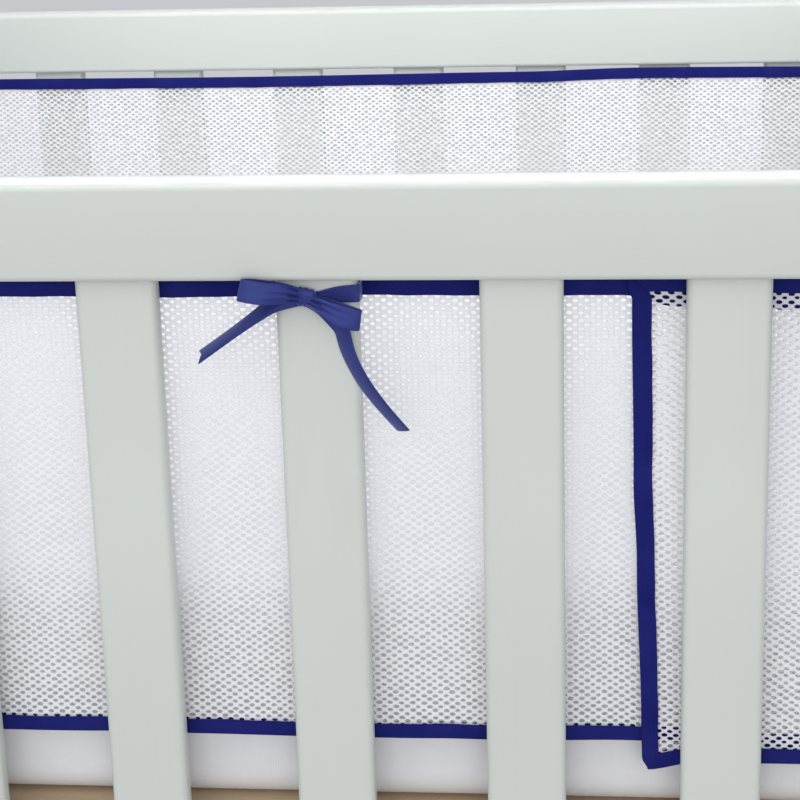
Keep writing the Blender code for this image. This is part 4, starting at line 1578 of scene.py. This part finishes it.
@dataclass
class Ties:
    """The seven ribbon bows and the slats that they are tied to."""

    height: float = 0.8332
    bow: Bow = field(default_factory=Bow)
    # node, side, place along that side, panel, slat
    places: tuple[tuple[str, Side, float, str, str], ...] = (
        ("bow_front_1", Side.FRONT, -0.575, "long", "slat_front_01"),
        ("bow_front_2", Side.FRONT, -0.230, "short", "slat_front_04"),
        ("bow_front_3", Side.FRONT, 0.230, "short", "slat_front_08"),
        ("bow_front_4", Side.FRONT, 0.575, "long", "slat_front_11"),
        ("bow_back_1", Side.BACK, -0.345, "long", "slat_back_03"),
        ("bow_right_1", Side.RIGHT, 0.055, "long", "slat_right_04"),
        ("bow_left_1", Side.LEFT, 0.055, "long", "slat_left_04"),
    )

    def placed(self, surface: Surface, side: Side, place: float) -> Surface:
        """A bow's surface on its slat: turned about Z to its side, then moved to its place.

        Args:
            surface: The surface in millimetres.
            side: The side of the crib.
            place: Place along that side.

        Returns:
            The surface in metres.
        """
        angle = math.radians(side.value)
        across = side in (Side.FRONT, Side.BACK)
        face = (INSIDE_WIDTH if across else INSIDE_LENGTH) / 2 + SLAT_OUT
        out = np.array([math.sin(angle), -math.cos(angle)])
        ahead = np.array([math.cos(angle), math.sin(angle)])
        right, up, outward = surface.points.T * MM
        spot = out * face + np.array((place, 0.0) if across else (0.0, place))
        flat = spot + right[:, None] * ahead + outward[:, None] * out
        points = np.column_stack([flat, self.height + up])
        return Surface(points, surface.faces, surface.places, surface.caps)

    def build(self) -> tuple[dict[str, list[Piece]], dict[str, list[str]]]:
        """Builds and dresses every bow.

        Returns:
            The ribbon pieces and the slats, by the panel that they hold.
        """
        satin = RIBBON_CLOTH.build()
        thread = TAPE_THREAD.build()
        ribbon, sewing = self.bow.build()
        ties: dict[str, list[Piece]] = {"long": [], "short": []}
        slats: dict[str, list[str]] = {"long": [], "short": []}
        for node, side, place, panel, slat in self.places:
            piece = add_piece(
                f"ribbon_{node}", self.placed(ribbon, side, place), satin, (node,), 70.0
            )
            seam = self.placed(sewing, side, place)
            stitches = add_piece(f"ribbon_{node}_stitches", seam, thread)
            ties[panel] += [piece, stitches]
            slats[panel].append(slat)
        return ties, slats


@dataclass(frozen=True)
class Lamp:
    """A rectangular soft light.

    Attributes:
        name: Its name.
        at: Its place.
        aim: The point that it faces.
        size: Its width and its height.
        power: Its power in watts.
        colour: Its colour.
        spread_deg: How widely it fans out.
    """

    name: str
    at: Triple
    aim: Triple
    size: Pair
    power: float
    colour: Triple
    spread_deg: float = 180.0

    def build(self) -> None:
        """Puts the light in place."""
        lamp = bpy.data.lights.new(self.name, "AREA")
        lamp.shape = "RECTANGLE"
        lamp.size, lamp.size_y = self.size
        lamp.spread = math.radians(self.spread_deg)
        lamp.energy = self.power
        lamp.color = self.colour
        item = bpy.data.objects.new(self.name, lamp)
        bpy.context.scene.collection.objects.link(item)
        item.location = self.at
        item.rotation_euler = (Vector(self.aim) - Vector(self.at)).to_track_quat("-Z", "Y").to_euler()


LAMPS = (
    Lamp(
        "key_light",
        at=(-0.9, -1.9, 3.0),
        aim=(0.2, -0.2, 0.7),
        size=(2.2, 2.2),
        power=16.0,
        colour=(1.0, 0.99, 0.97),
    ),
    Lamp(
        "front_light",
        at=(0.5, -3.5, 1.60),
        aim=(0.3, 0.0, 0.72),
        size=(2.6, 1.7),
        power=26.0,
        colour=(1.0, 0.995, 0.985),
    ),
    Lamp(
        "far_light",
        at=(0.3, -0.60, 1.75),
        aim=(0.3, 0.385, 0.87),
        size=(0.9, 0.5),
        power=0.62,
        colour=(0.98, 0.99, 1.0),
        spread_deg=25.0,
    ),
    Lamp(
        "rail_light",
        at=(0.0, -0.376, 1.45),
        aim=(0.0, -0.376, 0.9),
        size=(1.29, 0.012),
        power=0.062,
        colour=(0.99, 0.995, 1.0),
        spread_deg=3.0,
    ),
    Lamp(
        "top_light",
        at=(0.2, 0.3, 3.2),
        aim=(0.2, 0.0, 0.6),
        size=(2.6, 2.6),
        power=15.0,
        colour=(0.97, 0.98, 1.0),
    ),
)


@dataclass
class Studio:
    """The floor, the light and the camera at the photograph's angle."""

    camera_at: Triple = (0.3726, -1.388, 1.1213)
    yaw_deg: float = -5.385
    pitch_deg: float = 15.377
    roll_deg: float = -1.634
    lens_mm: float = 84.73
    shift_up: float = -0.15
    sky: Triple = (0.93, 0.95, 1.0)
    sky_strength: float = 0.90
    floor_colour: Triple = (0.66, 0.655, 0.655)
    floor_cloud: float = 1.7
    floor_shade: float = 0.97
    floor_roughness: float = 0.8
    floor_half: float = 30.0
    floor_gap: float = 0.0006

    def camera(self) -> None:
        """Puts the camera in place: yaw about Z, pitch down, then roll about the view."""
        yaw, pitch, roll = (math.radians(a) for a in (self.yaw_deg, self.pitch_deg, self.roll_deg))
        level = Vector((math.sin(yaw), math.cos(yaw), 0))
        right = Vector((math.cos(yaw), -math.sin(yaw), 0))
        ahead = level * math.cos(pitch) - Vector((0, 0, math.sin(pitch)))
        up = level * math.sin(pitch) + Vector((0, 0, math.cos(pitch)))
        turned = right * math.cos(roll) + up * math.sin(roll)
        upright = up * math.cos(roll) - right * math.sin(roll)
        camera = bpy.data.cameras.new("camera")
        camera.lens = self.lens_mm
        camera.sensor_width = 36.0
        camera.sensor_fit = "HORIZONTAL"
        camera.shift_y = self.shift_up
        camera.clip_start = 0.01
        item = bpy.data.objects.new("camera", camera)
        bpy.context.scene.collection.objects.link(item)
        columns = Matrix((turned, upright, -ahead)).transposed().to_4x4()
        item.matrix_world = Matrix.Translation(self.camera_at) @ columns
        bpy.context.scene.camera = item

    def build(self) -> None:
        """Builds the floor, the sky, the lights and the camera."""
        scene = bpy.context.scene
        scene.view_settings.view_transform = "Standard"
        world = bpy.data.worlds.new("soft_sky")
        world.use_nodes = True
        world.node_tree.nodes["Background"].inputs["Color"].default_value = (*self.sky, 1.0)
        world.node_tree.nodes["Background"].inputs["Strength"].default_value = self.sky_strength
        scene.world = world
        for lamp in LAMPS:
            lamp.build()
        look = Shading("pale_floor")
        cloud = look.noise(look.object_place(), self.floor_cloud, 3.0)
        darker = tuple(c * self.floor_shade for c in self.floor_colour)
        look.feed(look.shader.inputs["Base Color"], look.blended(cloud, self.floor_colour, darker))
        look.shader.inputs["Roughness"].default_value = self.floor_roughness
        mesh = bpy.data.meshes.new("floor")
        half, z = self.floor_half, -self.floor_gap
        corners = [(-half, -half, z), (half, -half, z), (half, half, z), (-half, half, z)]
        mesh.from_pydata(corners, [], [(0, 1, 2, 3)])
        mesh.materials.append(look.material)
        floor = bpy.data.objects.new("floor", mesh)
        scene.collection.objects.link(floor)
        self.camera()


def dress_board() -> None:
    """Gives the base board's solid its bare wood."""
    board = bpy.data.objects["base_board"]
    wood = BoardFinish().build()
    if board.material_slots:
        board.material_slots[0].material = wood
    else:
        board.data.materials.append(wood)


def main() -> None:
    """Builds every part in order."""
    logging.basicConfig(level=logging.INFO, format="%(name)s: %(message)s")
    Studio().build()
    Timber().build()
    dress_board()
    Mattress().build()
    ties, slats = Ties().build()
    Liner().build(ties, slats)


if __name__ == "__main__":
    main()
